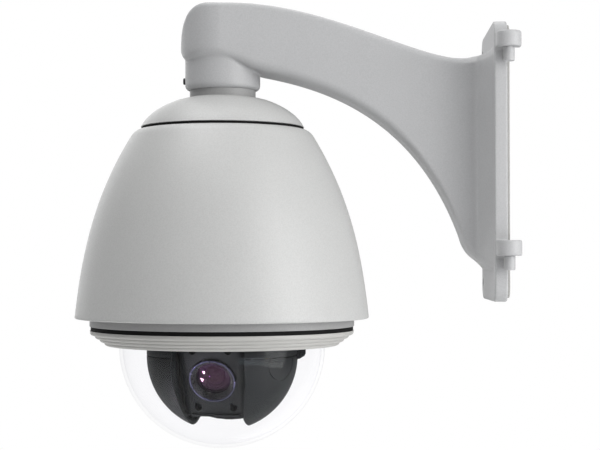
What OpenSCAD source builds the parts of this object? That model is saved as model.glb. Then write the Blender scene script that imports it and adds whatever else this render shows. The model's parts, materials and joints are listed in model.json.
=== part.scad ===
/* [Wall arm] */
// Distance from the wall to the pan axis
pan_reach = 207; // [200:1:214]
// Width of the wall flange
flange_w = 102; // [100:1:106]
// Height of the wall flange
flange_h = 199; // [194:1:202]
// Thickness of the wall flange
flange_t = 9.5; // [8:0.5:10]
// Thickness of the gasket behind the flange
gasket_t = 1.6; // [1:0.2:2]
// Wall thickness of the hollow casting
cast_wall = 4.5; // [4:0.5:5]
// Radius of the arm's round head
head_r = 31; // [30:0.5:32]
// Outer diameter of the pipe neck, the thread size of an inch and a half pipe
neck_d = 48.3; // [48.1:0.1:48.5]
// Radius of the two closing screw holes in the flange
closing_hole_r = 3.3; // [3:0.1:3.6]
// Radius of the free end of the hinge pins
pin_r = 4; // [3.5:0.1:4.5]

/* [Dome] */
// Radius of the bell at its rim
bell_r = 108.2; // [106:0.2:110]
// Height of the bell's rim above the origin
bell_rim_z = -112.5; // [-113:0.5:-112]
// Wall thickness of the bell and the top cap
shell_t = 3; // [2.5:0.5:3.5]
// Outer radius of the clear bubble
bubble_r = 76; // [75:0.5:77]
// Wall thickness of the bubble
bubble_t = 2.5; // [2:0.5:3]
// Radius of the lower ring and its seal
ring_r = 97.4; // [97:0.2:98]

/* [Pan and tilt] */
// Pan of the modelled pose, turned from straight ahead
rest_pan = 7; // [0:1:15]
// Tilt of the modelled pose, below the horizon
rest_tilt = 26; // [0:1:40]
// Height of the tilt axis
tilt_z = -140; // [-141:0.5:-139]
// Outer radius of the ball shroud
shroud_r = 55.7; // [55:0.1:56.5]
// Half the width of the shroud's slot
slot_half = 26; // [25.6:0.2:27]

/* [Camera] */
// Distance from the tilt axis to the flat face
face_reach = 36; // [35:0.5:36.5]
// Half the width of the camera bezel
bezel_half = 24.5; // [24:0.1:24.8]
// Radius of the lens ring
lens_ring_r = 17; // [16:0.2:18]
// Radius of the lens barrel
barrel_r = 15; // [14.5:0.1:15]

/* [Hidden] */
$fn = 96;
cut = 1; // how far a cutter runs past a face

// Wall flange
flange_front = -gasket_t - flange_t;
flange_corner = 11;
window_w = 48;
window_z = [15, 65];
closing_y = 43;
closing_z = 87;
gasket_inset = 2.75;

// Hinge knuckles: the lower face of each, their height and where their pins stand
knuckle_z = [79, -67];
knuckle_h = 11;
knuckle_r = 8.7;
pin_pos = [-1.35, -57.3];
pin_shank_r = 3;
pin_free = 10;

// Collar and neck
neck_r = neck_d / 2;
neck_bore_r = 18;
collar_r = 27.8;
collar_z = [54, 76];
set_screw_r = 2.5;
set_screw_z = 62.7;
set_screw_angles = [180, 60];

// Top cap and its screws
cap_r = 60.4;
cap_z = 28;
cap_gasket_z = 26.2;
lip_r = 43;
cap_screw_at = 48;
cap_screw_r = 2;

// Sealed housing
housing_top_z = 13;
plate_t = 3;
rim_in_r = 88;
ring_z = -119;
seal_t = 2;

// Trim ring and bubble flange
trim_z = ring_z - seal_t;
trim_low_z = -132.5;
ledge_z = -128;
ledge_r = 84;
bubble_z = -132;
flange_low_z = -126.8;
bubble_flange_t = 2.5;
clamp_t = 2;
clamp_screw_at = 79.5;
clamp_count = 6;

// Chassis
chassis_z = -64;
chassis_t = 2;
chassis_top = chassis_z + chassis_t;
standoff_at = 56;
standoff_r = 3.5;
main_board_z = -52;
power_board_z = -14;
board_t = 1.6;
board_post_at = 40;
fan_at = 52;
fan_angle = 270;
fan_bore_r = 13;

// Pan drive
gear_z = -84;
gear_t = 5;
pan_module = 1;
pan_teeth = 90;
pan_pinion_teeth = 15;
pan_centres = pan_module * (pan_teeth + pan_pinion_teeth) / 2 + 0.1;
hub_r = 16;
race_z = [-74, -64.5];
ball_at = 21;
ball_r = 2.5;
turntable_r = 56;
turntable_z = -87;
slip_r = 9;

// Tilt drive
arm_in = 31;
arm_t = 2.5;
axle_r = 3;
running_gap = 0.05;
tilt_module = 0.8;
tilt_teeth = 60;
tilt_pinion_teeth = 15;
tilt_centres = tilt_module * (tilt_teeth + tilt_pinion_teeth) / 2 + 0.1;
shroud_t = 2.5;
shroud_top_z = -87;

// Camera
body_half = [19, 28.5];
body_wall = 1.6;
body_z = [-30, 14];
bezel_screw_at = [13, 25.5];

// ---- Curves -------------------------------------------------------------

// Points of a cubic Bezier curve
function curve(a, b, c, d, n) = [
    for (i = [0 : n])
        let (t = i / n, s = 1 - t)
        s * s * s * a + 3 * s * s * t * b + 3 * s * t * t * c + t * t * t * d
];

// Points of an arc about c, from angle a0 to a1
function arc(c, r, a0, a1, n) = [
    for (i = [0 : n])
        let (a = a0 + (a1 - a0) * i / n)
        c + r * [cos(a), sin(a)]
];

function reversed(p) = [for (i = [len(p) - 1 : -1 : 0]) p[i]];

// A path moved sideways by d, to the left of its direction
function beside(p, d) = [
    for (i = [0 : len(p) - 1])
        let (
            a = p[max(i - 1, 0)],
            b = p[min(i + 1, len(p) - 1)],
            t = (b - a) / norm(b - a)
        )
        p[i] + d * [-t[1], t[0]]
];

// Top of the arm, from the head's left side to the flange
arm_top = concat(
    curve([-pan_reach - head_r, 84], [-pan_reach - head_r, 108], [-230, 118.4], [-216, 118.4], 8),
    curve([-204, 118.4], [-116, 119.5], [-54, 66], [-24, 75.3], 16)
);

// Underside of the arm, from the flange back to the head
arm_bottom = concat(
    [[-17, -72.2], [-23.2, -67.6], [-28.4, -60.2]],
    curve([-31.5, -52.5], [-64, 33], [-125, 56], [-172, 66.3], 16)
);

// Edge of the arm seen from above, from the head to the flange
arm_side = concat(
    curve([-pan_reach, head_r], [-160, 25], [-110, 20.4], [-70, 20.8], 8),
    curve([-62, 21.3], [-45, 23], [-30, 32], [-8, 49], 10)
);

bell_outline = concat(
    curve([cap_r, cap_gasket_z], [63.5, 25.8], [65.5, 24], [67.1, 21.9], 4),
    curve([67.8, 20.8], [93.3, -21.5], [102.7, -60.7], [bell_r, bell_rim_z], 18)
);

cap_dome = curve([60.2, 28.4], [56.2, 37.2], [44.8, 44.6], [33.3, 48.6], 10);
cap_outline = concat(
    [[cap_r, cap_z]],
    cap_dome,
    curve([30, 49.7], [26, 51], [neck_r, 51.6], [neck_r, 54], 4)
);

// Inside of the cap, from the neck down to the bottom flange
cap_inside = reversed(beside([for (i = [2 : 10]) cap_dome[i]], shell_t));

// Half the slot's width against the drop below the tilt axis
slot_outline = [
    [slot_half, 40], [slot_half, -18], [slot_half - 1, -25], [slot_half - 3.2, -35],
    [slot_half - 5.2, -45], [slot_half - 5.4, -60]
];

// ---- Shared shapes ------------------------------------------------------

module tube(r, hole, h) {
    difference() {
        cylinder(r = r, h = h);
        translate([0, 0, -cut]) cylinder(r = hole, h = h + 2 * cut);
    }
}

// A plate in the YZ plane with round corners, its back at x = 0 and its front at x = -t
module wall_plate(w, h, r, t) {
    for (turn = [0, 1]) {
        size = turn == 0 ? [w - 2 * r, h] : [w, h - 2 * r];
        translate([-t, -size[0] / 2, -size[1] / 2]) cube([t, size[0], size[1]]);
    }
    for (y = [-1, 1], z = [-1, 1])
        translate([-t, y * (w / 2 - r), z * (h / 2 - r)]) rotate([0, 90, 0]) cylinder(r = r, h = t);
}

// Children round an axis, at a radius and at each angle
module around(angles, radius) {
    for (a = angles)
        rotate([0, 0, a]) translate([radius, 0, 0]) children();
}

function steps(count, first = 0) = [for (i = [0 : count - 1]) first + i * 360 / count];

// A spur gear with involute flanks, one tooth on the X axis
function involute_turn(ratio) = let (a = acos(ratio)) tan(a) * 180 / PI - a;
function flank_half(m, n, r) =
    let (base = m * n / 2 * cos(20))
    90 / n - 1.3 / n + involute_turn(cos(20)) - involute_turn(min(1, base / r));
function gear_points(m, n) =
    let (
        pitch = m * n / 2,
        base = pitch * cos(20),
        root = pitch - 1.25 * m,
        low = max(base, root + 0.02),
        radii = [low, pitch, pitch + 0.5 * m, pitch + 0.92 * m]
    )
    [
        for (i = [0 : n - 1])
            let (mid = i * 360 / n)
            each concat(
                [root * [cos(mid - flank_half(m, n, low)), sin(mid - flank_half(m, n, low))]],
                [for (r = radii) r * [cos(mid - flank_half(m, n, r)), sin(mid - flank_half(m, n, r))]],
                [for (k = [3 : -1 : 0])
                    let (r = radii[k])
                    r * [cos(mid + flank_half(m, n, r)), sin(mid + flank_half(m, n, r))]],
                [root * [cos(mid + flank_half(m, n, low)), sin(mid + flank_half(m, n, low))]]
            )
    ];

module gear(m, n, h, bore) {
    difference() {
        linear_extrude(height = h) polygon(gear_points(m, n));
        translate([0, 0, -cut]) cylinder(r = bore, h = h + 2 * cut);
    }
}

// A screw along +Z: its head below z = 0 and its shank above
module screw(r, length, head_r, head_h) {
    difference() {
        rotate_extrude() polygon([
            [0, -head_h], [head_r, -head_h], [head_r, 0], [r, 0], [r, length], [0, length]
        ]);
        translate([0, 0, -head_h - cut]) cylinder(r = head_r / 2, h = head_h * 0.6 + cut, $fn = 6);
    }
}

// ---- Places -------------------------------------------------------------

module at_dome() translate([-pan_reach, 0, 0]) children();
module at_head() at_dome() rotate([0, 0, -rest_pan]) children();
module at_tilt_axis() at_head() translate([0, 0, tilt_z]) children();

// +Z runs forward along the lens, X along the tilt axis
module along_lens() at_tilt_axis() rotate([rest_tilt + 90, 0, 0]) children();

// +Z runs along the tilt axis, Y up
module along_axle() at_tilt_axis() rotate([90, 0, 90]) children();

// ---- Wall arm -----------------------------------------------------------

// The space between a side view outline and a plan view outline
module side_and_plan(side, plan) {
    intersection() {
        translate([0, 70, 0]) rotate([90, 0, 0]) linear_extrude(height = 140) polygon(side);
        translate([0, 0, -120]) linear_extrude(height = 280) polygon(plan);
    }
}

module arm_casting() {
    side_and_plan(
        concat(
            arm_top,
            [[flange_front - 4, 76.4], [flange_front + 1, 77], [flange_front + 1, -77]],
            arm_bottom,
            [[-178, 69], [-181, 73], [-233, 73]]
        ),
        concat(
            arc([-pan_reach, 0], head_r, 264, 96, 24),
            arm_side,
            reversed([for (p = arm_side) [p[0], -p[1]]])
        )
    );
}

module arm_hollow() {
    inner_side = beside(arm_side, -cast_wall);
    side_and_plan(
        concat(
            beside(arm_top, -cast_wall),
            [[flange_front - 4, 71.4], [flange_front - 4, -60]],
            beside([for (i = [2 : len(arm_bottom) - 1]) arm_bottom[i]], -cast_wall),
            [[-180, 78], [-230, 78]]
        ),
        concat(
            arc([-pan_reach, 0], head_r - cast_wall, 260, 100, 24),
            inner_side,
            reversed([for (p = inner_side) [p[0], -p[1]]])
        )
    );
}

module knuckle(z) {
    translate([pin_pos[0], pin_pos[1], z]) {
        difference() {
            union() {
                cylinder(r = knuckle_r, h = knuckle_h);
                translate([-knuckle_r, 0, 0]) cube([knuckle_r - gasket_t - pin_pos[0], 10, knuckle_h]);
                translate([-knuckle_r, 0, 0]) cube([2 * knuckle_r, -flange_w / 2 - pin_pos[1] - 0.3, knuckle_h]);
            }
            translate([0, 0, -cut]) cylinder(r = pin_shank_r, h = knuckle_h - 2 + cut);
        }
    }
}

module collar() {
    translate([-pan_reach, 0, collar_z[0]])
        rotate_extrude() polygon(concat(
            [[0, 0]],
            arc([collar_r - 3.5, 3.5], 3.5, 270, 360, 6),
            [[collar_r, collar_z[1] - collar_z[0]], [0, collar_z[1] - collar_z[0]]]
        ));
}

module wall_arm() {
    color([0.72, 0.72, 0.71])
    difference() {
        union() {
            arm_casting();
            translate([-gasket_t, 0, 0]) wall_plate(flange_w, flange_h, flange_corner, flange_t);
            for (z = knuckle_z)
                knuckle(z);
            collar();
        }
        arm_hollow();
        translate([-pan_reach, 0, collar_z[0] - cut]) cylinder(r = neck_r, h = 27);
        translate([flange_front - 8, -window_w / 2, window_z[0]])
            cube([20, window_w, window_z[1] - window_z[0]]);
        for (z = [-1, 1])
            translate([flange_front - cut, closing_y, z * closing_z])
                rotate([0, 90, 0]) cylinder(r = closing_hole_r, h = flange_t + 2 * cut);
        for (a = set_screw_angles)
            translate([-pan_reach, 0, set_screw_z]) rotate([0, 90, a])
                translate([0, 0, neck_r - cut]) cylinder(r = set_screw_r, h = 8);
    }
}

module hinge_pins() {
    color([0.7, 0.7, 0.69])
    for (z = knuckle_z)
        translate([pin_pos[0], pin_pos[1], z]) {
            cylinder(r = pin_shank_r, h = knuckle_h - 2);
            translate([0, 0, 1 - pin_free]) cylinder(r = pin_r, h = pin_free - 1);
            translate([0, 0, -pin_free]) cylinder(r1 = pin_r - 1, r2 = pin_r, h = 1);
        }
}

module flange_gasket() {
    color([0.45, 0.45, 0.44])
    difference() {
        wall_plate(flange_w - 2 * gasket_inset, flange_h - 2 * gasket_inset,
            flange_corner - gasket_inset, gasket_t);
        translate([-gasket_t - cut, -window_w / 2, window_z[0]])
            cube([gasket_t + 2 * cut, window_w, window_z[1] - window_z[0]]);
        for (z = [-1, 1])
            translate([-gasket_t - cut, closing_y, z * closing_z])
                rotate([0, 90, 0]) cylinder(r = closing_hole_r, h = gasket_t + 2 * cut);
    }
}

module collar_set_screws() {
    color([0.16, 0.16, 0.16])
    for (a = set_screw_angles)
        translate([-pan_reach, 0, set_screw_z]) rotate([0, 90, a])
            translate([0, 0, neck_r + 0.1])
                difference() {
                    cylinder(r = set_screw_r, h = 3.3);
                    translate([0, 0, 1.3]) cylinder(r = 1.4, h = 3, $fn = 6);
                }
}

// ---- Dome housing -------------------------------------------------------

module top_cap() {
    color([0.72, 0.72, 0.71])
    at_dome() difference() {
        union() {
            rotate_extrude() polygon(concat(
                cap_outline,
                [[neck_r, 74], [neck_bore_r, 74], [neck_bore_r, 48]],
                cap_inside,
                [[cap_r - 5, cap_z]]
            ));
            around(steps(3, 30), cap_screw_at)
                translate([0, 0, cap_z]) cylinder(r = 4.5, h = 9.5);
        }
        around(steps(3, 30), cap_screw_at)
            translate([0, 0, cap_z - cut]) cylinder(r = cap_screw_r, h = 8 + cut);
    }
}

module cap_gasket() {
    color([0.04, 0.04, 0.04])
    at_dome() difference() {
        translate([0, 0, cap_gasket_z]) tube(cap_r - 0.4, lip_r, cap_z - cap_gasket_z);
        around(steps(3, 30), cap_screw_at)
            translate([0, 0, cap_gasket_z - cut]) cylinder(r = cap_screw_r + 0.3, h = 4);
    }
}

module cap_screws() {
    color([0.6, 0.6, 0.6])
    at_dome() around(steps(3, 30), cap_screw_at)
        translate([0, 0, housing_top_z - plate_t]) screw(cap_screw_r, 25, 3.6, 2.5);
}

module bell_shield() {
    color([0.74, 0.74, 0.73])
    at_dome() difference() {
        rotate_extrude() polygon(concat(
            [[cap_r - 1, cap_gasket_z - shell_t], [lip_r, cap_gasket_z - shell_t], [lip_r, cap_gasket_z]],
            bell_outline,
            [[bell_r - shell_t, bell_rim_z]],
            reversed(beside([for (i = [4 : len(bell_outline) - 2]) bell_outline[i]], -shell_t))
        ));
        around(steps(3, 30), cap_screw_at)
            translate([0, 0, 20]) cylinder(r = cap_screw_r + 0.2, h = 10);
    }
}

module inner_housing() {
    color([0.6, 0.6, 0.59])
    at_dome() difference() {
        union() {
            rotate_extrude() polygon([
                [0, housing_top_z - plate_t], [62, housing_top_z - plate_t], [63, 9],
                [87, -104], [rim_in_r, -106], [rim_in_r, -114.8], [90, -114.8], [90, -117.2],
                [rim_in_r, -117.2], [rim_in_r, ring_z], [ring_r, ring_z], [ring_r, -108],
                [90, -104], [66, 9], [62, housing_top_z], [0, housing_top_z]
            ]);
            around(steps(3, 30), cap_screw_at)
                translate([0, 0, housing_top_z])
                    cylinder(r = 5, h = cap_gasket_z - shell_t - housing_top_z);
        }
        around(steps(3, 30), cap_screw_at)
            cylinder(r = cap_screw_r + 0.2, h = 30);
        cylinder(r = 10, h = 30);
        translate([0, 0, -116]) rotate([-90, 0, 0]) cylinder(r = 1.5, h = 110);
    }
}

module cable_gland() {
    color([0.15, 0.15, 0.15])
    at_dome() difference() {
        union() {
            translate([0, 0, housing_top_z - plate_t]) cylinder(r = 10, h = plate_t);
            translate([0, 0, housing_top_z]) cylinder(r = 13, h = 8);
            translate([0, 0, housing_top_z - plate_t - 4]) cylinder(r = 13, h = 4, $fn = 6);
        }
        translate([0, 0, -cut]) cylinder(r = 6, h = 40);
    }
}

module seal_ring() {
    color([0.03, 0.03, 0.03])
    at_dome() translate([0, 0, trim_z]) tube(ring_r - 0.3, rim_in_r + 1, seal_t);
}

module trim_ring() {
    color([0.78, 0.77, 0.74])
    at_dome() difference() {
        union() {
            rotate_extrude() polygon([
                [97, trim_z], [97, -123.6], [95, -124.6], [94.6, -125.6], [92.6, -126.6],
                [92.2, -127.7], [90, -128.7], [89.5, -129.8], [86, -130.8], [83.5, trim_low_z],
                [bubble_r + 0.5, trim_low_z], [bubble_r + 0.5, ledge_z], [ledge_r, ledge_z],
                [ledge_r, -114], [rim_in_r - 0.4, -114], [rim_in_r - 0.4, trim_z]
            ]);
            for (a = steps(3, 20))
                rotate([0, 0, a]) rotate_extrude(angle = 18)
                    translate([rim_in_r - 1, -116.8]) square([2.7, 1.6]);
        }
        around(steps(clamp_count), clamp_screw_at)
            translate([0, 0, -131]) cylinder(r = 1.2, h = 8);
        translate([0, 0, -116]) rotate([-90, 0, 0]) cylinder(r = 1.5, h = 110);
    }
}

module trim_lock_screw() {
    color([0.3, 0.3, 0.3])
    at_dome() translate([0, ring_r - 0.2, -116]) rotate([90, 0, 0])
        difference() {
            cylinder(r = 1.5, h = 12.5);
            translate([0, 0, -cut]) cylinder(r = 0.8, h = 2.5, $fn = 6);
        }
}

module bubble() {
    color([0.85, 0.9, 0.92, 0.25])
    at_dome() difference() {
        rotate_extrude() polygon(concat(
            arc([0, bubble_z], bubble_r, -90, 0, 36),
            [[bubble_r, flange_low_z], [ledge_r - 0.5, flange_low_z],
             [ledge_r - 0.5, flange_low_z + bubble_flange_t],
             [bubble_r - bubble_t, flange_low_z + bubble_flange_t]],
            arc([0, bubble_z], bubble_r - bubble_t, 0, -90, 36)
        ));
        around(steps(clamp_count), clamp_screw_at)
            translate([0, 0, -131]) cylinder(r = 1.4, h = 8);
    }
}

module bubble_gasket() {
    color([0.05, 0.05, 0.05])
    at_dome() difference() {
        translate([0, 0, ledge_z]) tube(ledge_r - 0.3, bubble_r + 0.6, flange_low_z - ledge_z);
        around(steps(clamp_count), clamp_screw_at)
            translate([0, 0, -131]) cylinder(r = 1.4, h = 8);
    }
}

module clamp_ring() {
    color([0.5, 0.5, 0.5])
    at_dome() difference() {
        translate([0, 0, flange_low_z + bubble_flange_t]) tube(ledge_r - 0.5, bubble_r - 1, clamp_t);
        around(steps(clamp_count), clamp_screw_at)
            translate([0, 0, -131]) cylinder(r = 1.4, h = 12);
    }
}

module clamp_screws() {
    color([0.7, 0.7, 0.7])
    at_dome() around(steps(clamp_count), clamp_screw_at)
        translate([0, 0, flange_low_z + bubble_flange_t + clamp_t])
            mirror([0, 0, 1]) screw(1.2, 7.5, 2.3, 1.4);
}

// ---- Fixed chassis ------------------------------------------------------

module chassis_plate() {
    color([0.66, 0.67, 0.68])
    at_dome() difference() {
        translate([0, 0, chassis_z]) cylinder(r = 76, h = chassis_t);
        translate([0, 0, chassis_z - cut]) cylinder(r = 21, h = 5);
        around(steps(3, 60), standoff_at) translate([0, 0, chassis_z - cut]) cylinder(r = 1.6, h = 5);
        translate([0, pan_centres, chassis_z - cut]) cylinder(r = 3.4, h = 5);
        around([fan_angle], fan_at) translate([0, 0, chassis_z - cut]) cylinder(r = fan_bore_r, h = 5);
    }
}

module chassis_standoffs() {
    color([0.75, 0.75, 0.72])
    at_dome() around(steps(3, 60), standoff_at)
        translate([0, 0, chassis_top])
            difference() {
                cylinder(r = standoff_r, h = housing_top_z - plate_t - chassis_top);
                translate([0, 0, -cut]) cylinder(r = 1.5, h = 11 + cut);
            }
}

module chassis_screws() {
    color([0.6, 0.6, 0.6])
    at_dome() around(steps(3, 60), standoff_at)
        translate([0, 0, chassis_z]) screw(1.5, 10, 3, 2);
}

module power_board() {
    color([0.08, 0.3, 0.14])
    at_dome() {
        difference() {
            translate([0, 0, power_board_z]) cylinder(r = 51, h = board_t);
            around(steps(4), board_post_at) translate([0, 0, -20]) cylinder(r = 1.2, h = 12);
        }
        translate([-16, 4, power_board_z - 19]) cube([32, 26, 19]);
        translate([-20, -32, power_board_z - 11]) cube([40, 11, 11]);
        for (x = [-26, -15])
            translate([x, -8, power_board_z - 16]) cylinder(r = 5, h = 16);
        translate([20, -12, power_board_z - 12]) cube([10, 16, 12]);
    }
}

module main_board() {
    color([0.07, 0.28, 0.16])
    at_dome() difference() {
        union() {
            translate([0, 0, main_board_z]) cylinder(r = 50, h = board_t);
            translate([-40, -8, main_board_z + board_t]) cube([16, 16, 2.2]);
            translate([24, -10, main_board_z + board_t]) cube([14, 20, 2.2]);
            translate([-12, -42, main_board_z + board_t]) cube([24, 7, 8]);
            for (x = [-34, 20])
                translate([x, -26, main_board_z + board_t]) cube([10, 10, 1.8]);
        }
        translate([0, 0, main_board_z - cut]) cylinder(r = 16, h = 5);
        translate([-17, 36, main_board_z - cut]) cube([34, 20, 5]);
        around(steps(4, 45), board_post_at) translate([0, 0, main_board_z - cut]) cylinder(r = 1.2, h = 5);
    }
}

module board_posts() {
    color([0.78, 0.66, 0.36])
    at_dome() {
        around(steps(4, 45), board_post_at) {
            translate([0, 0, chassis_top]) cylinder(r = 2.5, h = main_board_z - chassis_top);
            translate([0, 0, main_board_z - 0.01]) cylinder(r = 1.2, h = board_t + 1.6);
        }
        around(steps(4), board_post_at) {
            translate([0, 0, power_board_z + board_t])
                cylinder(r = 2.5, h = housing_top_z - plate_t - power_board_z - board_t);
            translate([0, 0, power_board_z - 1.6]) cylinder(r = 1.2, h = board_t + 1.7);
        }
    }
}

module heater() {
    color([0.75, 0.62, 0.3])
    at_dome() translate([54, -13, chassis_top]) {
        cube([15, 26, 3]);
        for (y = [0 : 4 : 24])
            translate([0, y, 3]) cube([15, 2, 13]);
    }
}

module blower_frame() {
    color([0.1, 0.1, 0.1])
    at_dome() around([fan_angle], fan_at) translate([0, 0, chassis_top]) {
        difference() {
            translate([-14, -14, 0]) cube([28, 28, 8]);
            translate([0, 0, -cut]) cylinder(r = fan_bore_r, h = 10);
        }
        cylinder(r = 5, h = 0.8);
        cylinder(r = 1, h = 6);
        for (a = [0, 120, 240])
            rotate([0, 0, a]) translate([4.5, -0.8, 0]) cube([9, 1.6, 0.8]);
    }
}

module blower_rotor() {
    color([0.2, 0.2, 0.22])
    at_dome() around([fan_angle], fan_at) translate([0, 0, chassis_top + 1.2])
        difference() {
            union() {
                cylinder(r = 5, h = 5.8);
                for (a = steps(7))
                    rotate([0, 0, a]) translate([4.6, 0, 2.9]) rotate([38, 0, 0])
                        translate([0, -0.4, -2.6]) cube([7.6, 0.8, 5.2]);
            }
            translate([0, 0, -cut]) cylinder(r = 1 + running_gap, h = 8);
        }
}

module slip_ring_stator() {
    color([0.12, 0.12, 0.12])
    at_dome() difference() {
        union() {
            translate([0, 0, chassis_top]) cylinder(r = 26, h = 1.6);
            translate([0, 0, chassis_top]) cylinder(r = 14, h = 27);
        }
        translate([0, 0, chassis_top - cut]) cylinder(r = slip_r + running_gap, h = 26);
    }
}

module slip_ring_rotor() {
    color([0.8, 0.7, 0.35])
    at_dome() translate([0, 0, -89]) tube(slip_r, 5, 51);
}

// ---- Pan bearing and drive ----------------------------------------------

module bearing_housing() {
    color([0.62, 0.62, 0.63])
    at_dome() difference() {
        translate([0, 0, -76]) cylinder(r = 34, h = 12);
        translate([0, 0, race_z[0]]) cylinder(r = 26, h = 12);
        translate([0, 0, -78]) cylinder(r = 24, h = 6);
    }
}

module race_groove() {
    translate([0, 0, (race_z[0] + race_z[1]) / 2]) rotate_extrude()
        translate([ball_at, 0]) circle(r = ball_r + running_gap);
}

module bearing_outer_race() {
    color([0.7, 0.71, 0.73])
    at_dome() difference() {
        translate([0, 0, race_z[0]]) tube(26, 22.7, chassis_z - race_z[0]);
        race_groove();
    }
}

module bearing_balls() {
    color([0.8, 0.81, 0.83])
    at_dome() around(steps(12), ball_at)
        translate([0, 0, (race_z[0] + race_z[1]) / 2]) sphere(r = ball_r);
}

module bearing_inner_race() {
    color([0.7, 0.71, 0.73])
    at_dome() difference() {
        translate([0, 0, race_z[0]]) tube(19.3, hub_r, race_z[1] - race_z[0]);
        race_groove();
    }
}

module pan_hub() {
    color([0.66, 0.66, 0.67])
    at_head() difference() {
        union() {
            translate([0, 0, turntable_z - 2]) cylinder(r = 24, h = 2);
            translate([0, 0, turntable_z - 2]) cylinder(r = hub_r, h = 25.5);
            translate([0, 0, gear_z + gear_t]) cylinder(r = 18.6, h = race_z[0] - gear_z - gear_t);
        }
        translate([0, 0, -92]) cylinder(r = slip_r, h = 40);
        around(steps(4, 45), 20) translate([0, 0, -92]) cylinder(r = 1.6, h = 10);
    }
}

module hub_screws() {
    color([0.6, 0.6, 0.6])
    at_head() around(steps(4, 45), 20) translate([0, 0, turntable_z - 2]) screw(1.5, 8.5, 2.6, 1.6);
}

module turntable() {
    color([0.68, 0.69, 0.7])
    at_head() difference() {
        translate([0, 0, turntable_z]) cylinder(r = turntable_r, h = gear_z - turntable_z);
        translate([0, 0, -92]) cylinder(r = hub_r, h = 12);
        around(steps(4, 45), 20) translate([0, 0, -92]) cylinder(r = 1.6, h = 12);
    }
}

module pan_gear() {
    color([0.1, 0.1, 0.1])
    at_dome() difference() {
        translate([0, 0, gear_z]) rotate([0, 0, 90 - 180 / pan_teeth])
            gear(pan_module, pan_teeth, gear_t, hub_r);
        rotate([0, 0, -rest_pan]) around(steps(4, 45), 20)
            translate([0, 0, -92]) cylinder(r = 1.5, h = 20);
    }
}

module pan_motor() {
    color([0.25, 0.25, 0.26])
    at_dome() translate([0, pan_centres, chassis_top])
        difference() {
            union() {
                cylinder(r = 14, h = 22);
                translate([-7, -17, 0]) cube([14, 34, 1.5]);
            }
            translate([0, 0, -cut]) cylinder(r = 2.5 + running_gap, h = 18);
        }
}

module pan_pinion() {
    color([0.75, 0.75, 0.7])
    at_dome() translate([0, pan_centres, 0]) {
        translate([0, 0, gear_z + 0.5]) rotate([0, 0, -90]) gear(pan_module, pan_pinion_teeth, 4.3, 2.5);
        translate([0, 0, gear_z + 0.5]) cylinder(r = 2.5, h = 37);
    }
}

// ---- Tilt frame and drive -----------------------------------------------

module yoke_arms() {
    color([0.66, 0.67, 0.68])
    at_head() for (side = [-1, 1])
        difference() {
            union() {
                translate([side > 0 ? arm_in : -arm_in - arm_t, -13, tilt_z - 12])
                    cube([arm_t, 26, turntable_z - tilt_z + 12]);
                translate([side > 0 ? arm_in : -46, -13, turntable_z - 3]) cube([46 - arm_in, 26, 3]);
            }
            translate([0, 0, tilt_z]) rotate([0, side * 90, 0]) cylinder(r = 5, h = 40);
            if (side < 0)
                translate([0, 0, tilt_z + tilt_centres]) rotate([0, -90, 0]) cylinder(r = 2.2, h = 40);
        }
}

module tilt_bushes() {
    color([0.78, 0.6, 0.3])
    at_tilt_axis() for (side = [-1, 1])
        rotate([0, side * 90, 0]) difference() {
            union() {
                translate([0, 0, arm_in]) cylinder(r = 5, h = arm_t);
                translate([0, 0, arm_in + arm_t]) cylinder(r = 6.5, h = 1);
            }
            cylinder(r = axle_r + running_gap, h = 60);
        }
}

module tilt_axles() {
    color([0.75, 0.76, 0.78])
    at_tilt_axis() for (side = [-1, 1])
        rotate([0, side * 90, 0]) {
            translate([0, 0, body_half[0] + 0.01]) cylinder(r = axle_r, h = 17);
            translate([0, 0, 20.6]) cylinder(r = 5, h = 1.6);
        }
}

module tilt_gear() {
    color([0.1, 0.1, 0.1])
    along_axle() translate([0, 0, -30]) rotate([0, 0, 90 - 180 / tilt_teeth])
        gear(tilt_module, tilt_teeth, 3.5, axle_r);
}

module tilt_motor() {
    color([0.25, 0.25, 0.26])
    along_axle() translate([0, tilt_centres, -48])
        difference() {
            cylinder(r = 9, h = 48 - arm_in - arm_t);
            translate([0, 0, 4]) cylinder(r = 1.5 + running_gap, h = 20);
        }
}

module tilt_pinion() {
    color([0.75, 0.75, 0.7])
    along_axle() translate([0, tilt_centres, 0]) {
        translate([0, 0, -29.8]) rotate([0, 0, -90]) gear(tilt_module, tilt_pinion_teeth, 3.3, 1.5);
        translate([0, 0, -43]) cylinder(r = 1.5, h = 16.5);
    }
}

// ---- Ball shroud --------------------------------------------------------

// The slot's opening, forward of a plane that leans back from the tilt axis
module slot_cutter() {
    intersection() {
        rotate([90, 0, 0]) translate([0, 0, -80]) linear_extrude(height = 160) polygon(concat(
            slot_outline, reversed([for (p = slot_outline) [-p[0], p[1]]])
        ));
        rotate([25, 0, 0]) translate([-40, -100, -100]) cube([80, 100, 200]);
    }
}

module shroud_upper() {
    color([0.07, 0.07, 0.08])
    at_tilt_axis() difference() {
        union() {
            tube(shroud_r, shroud_r - shroud_t, shroud_top_z - tilt_z);
            translate([0, 0, shroud_top_z - tilt_z - 2.5]) tube(shroud_r, 49, 2.5);
        }
        intersection() {
            slot_cutter();
            translate([-50, -70, -10]) cube([100, 70, 50]);
        }
    }
}

module shroud_lower() {
    color([0.06, 0.06, 0.07])
    at_tilt_axis() difference() {
        sphere(r = shroud_r);
        sphere(r = shroud_r - shroud_t);
        translate([-80, -80, 0]) cube([160, 160, 80]);
        slot_cutter();
    }
}

module shroud_latch() {
    color([0.08, 0.08, 0.08])
    at_dome() translate([0, 5, tilt_z]) rotate([90, 0, 0]) linear_extrude(height = 10)
        polygon([
            [shroud_r + 0.3, -1.8], [58, 0.2], [60, 1.6], [60.8, 2.4], [60.8, 10], [shroud_r + 0.3, 10]
        ]);
}

// ---- Camera module ------------------------------------------------------

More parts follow.
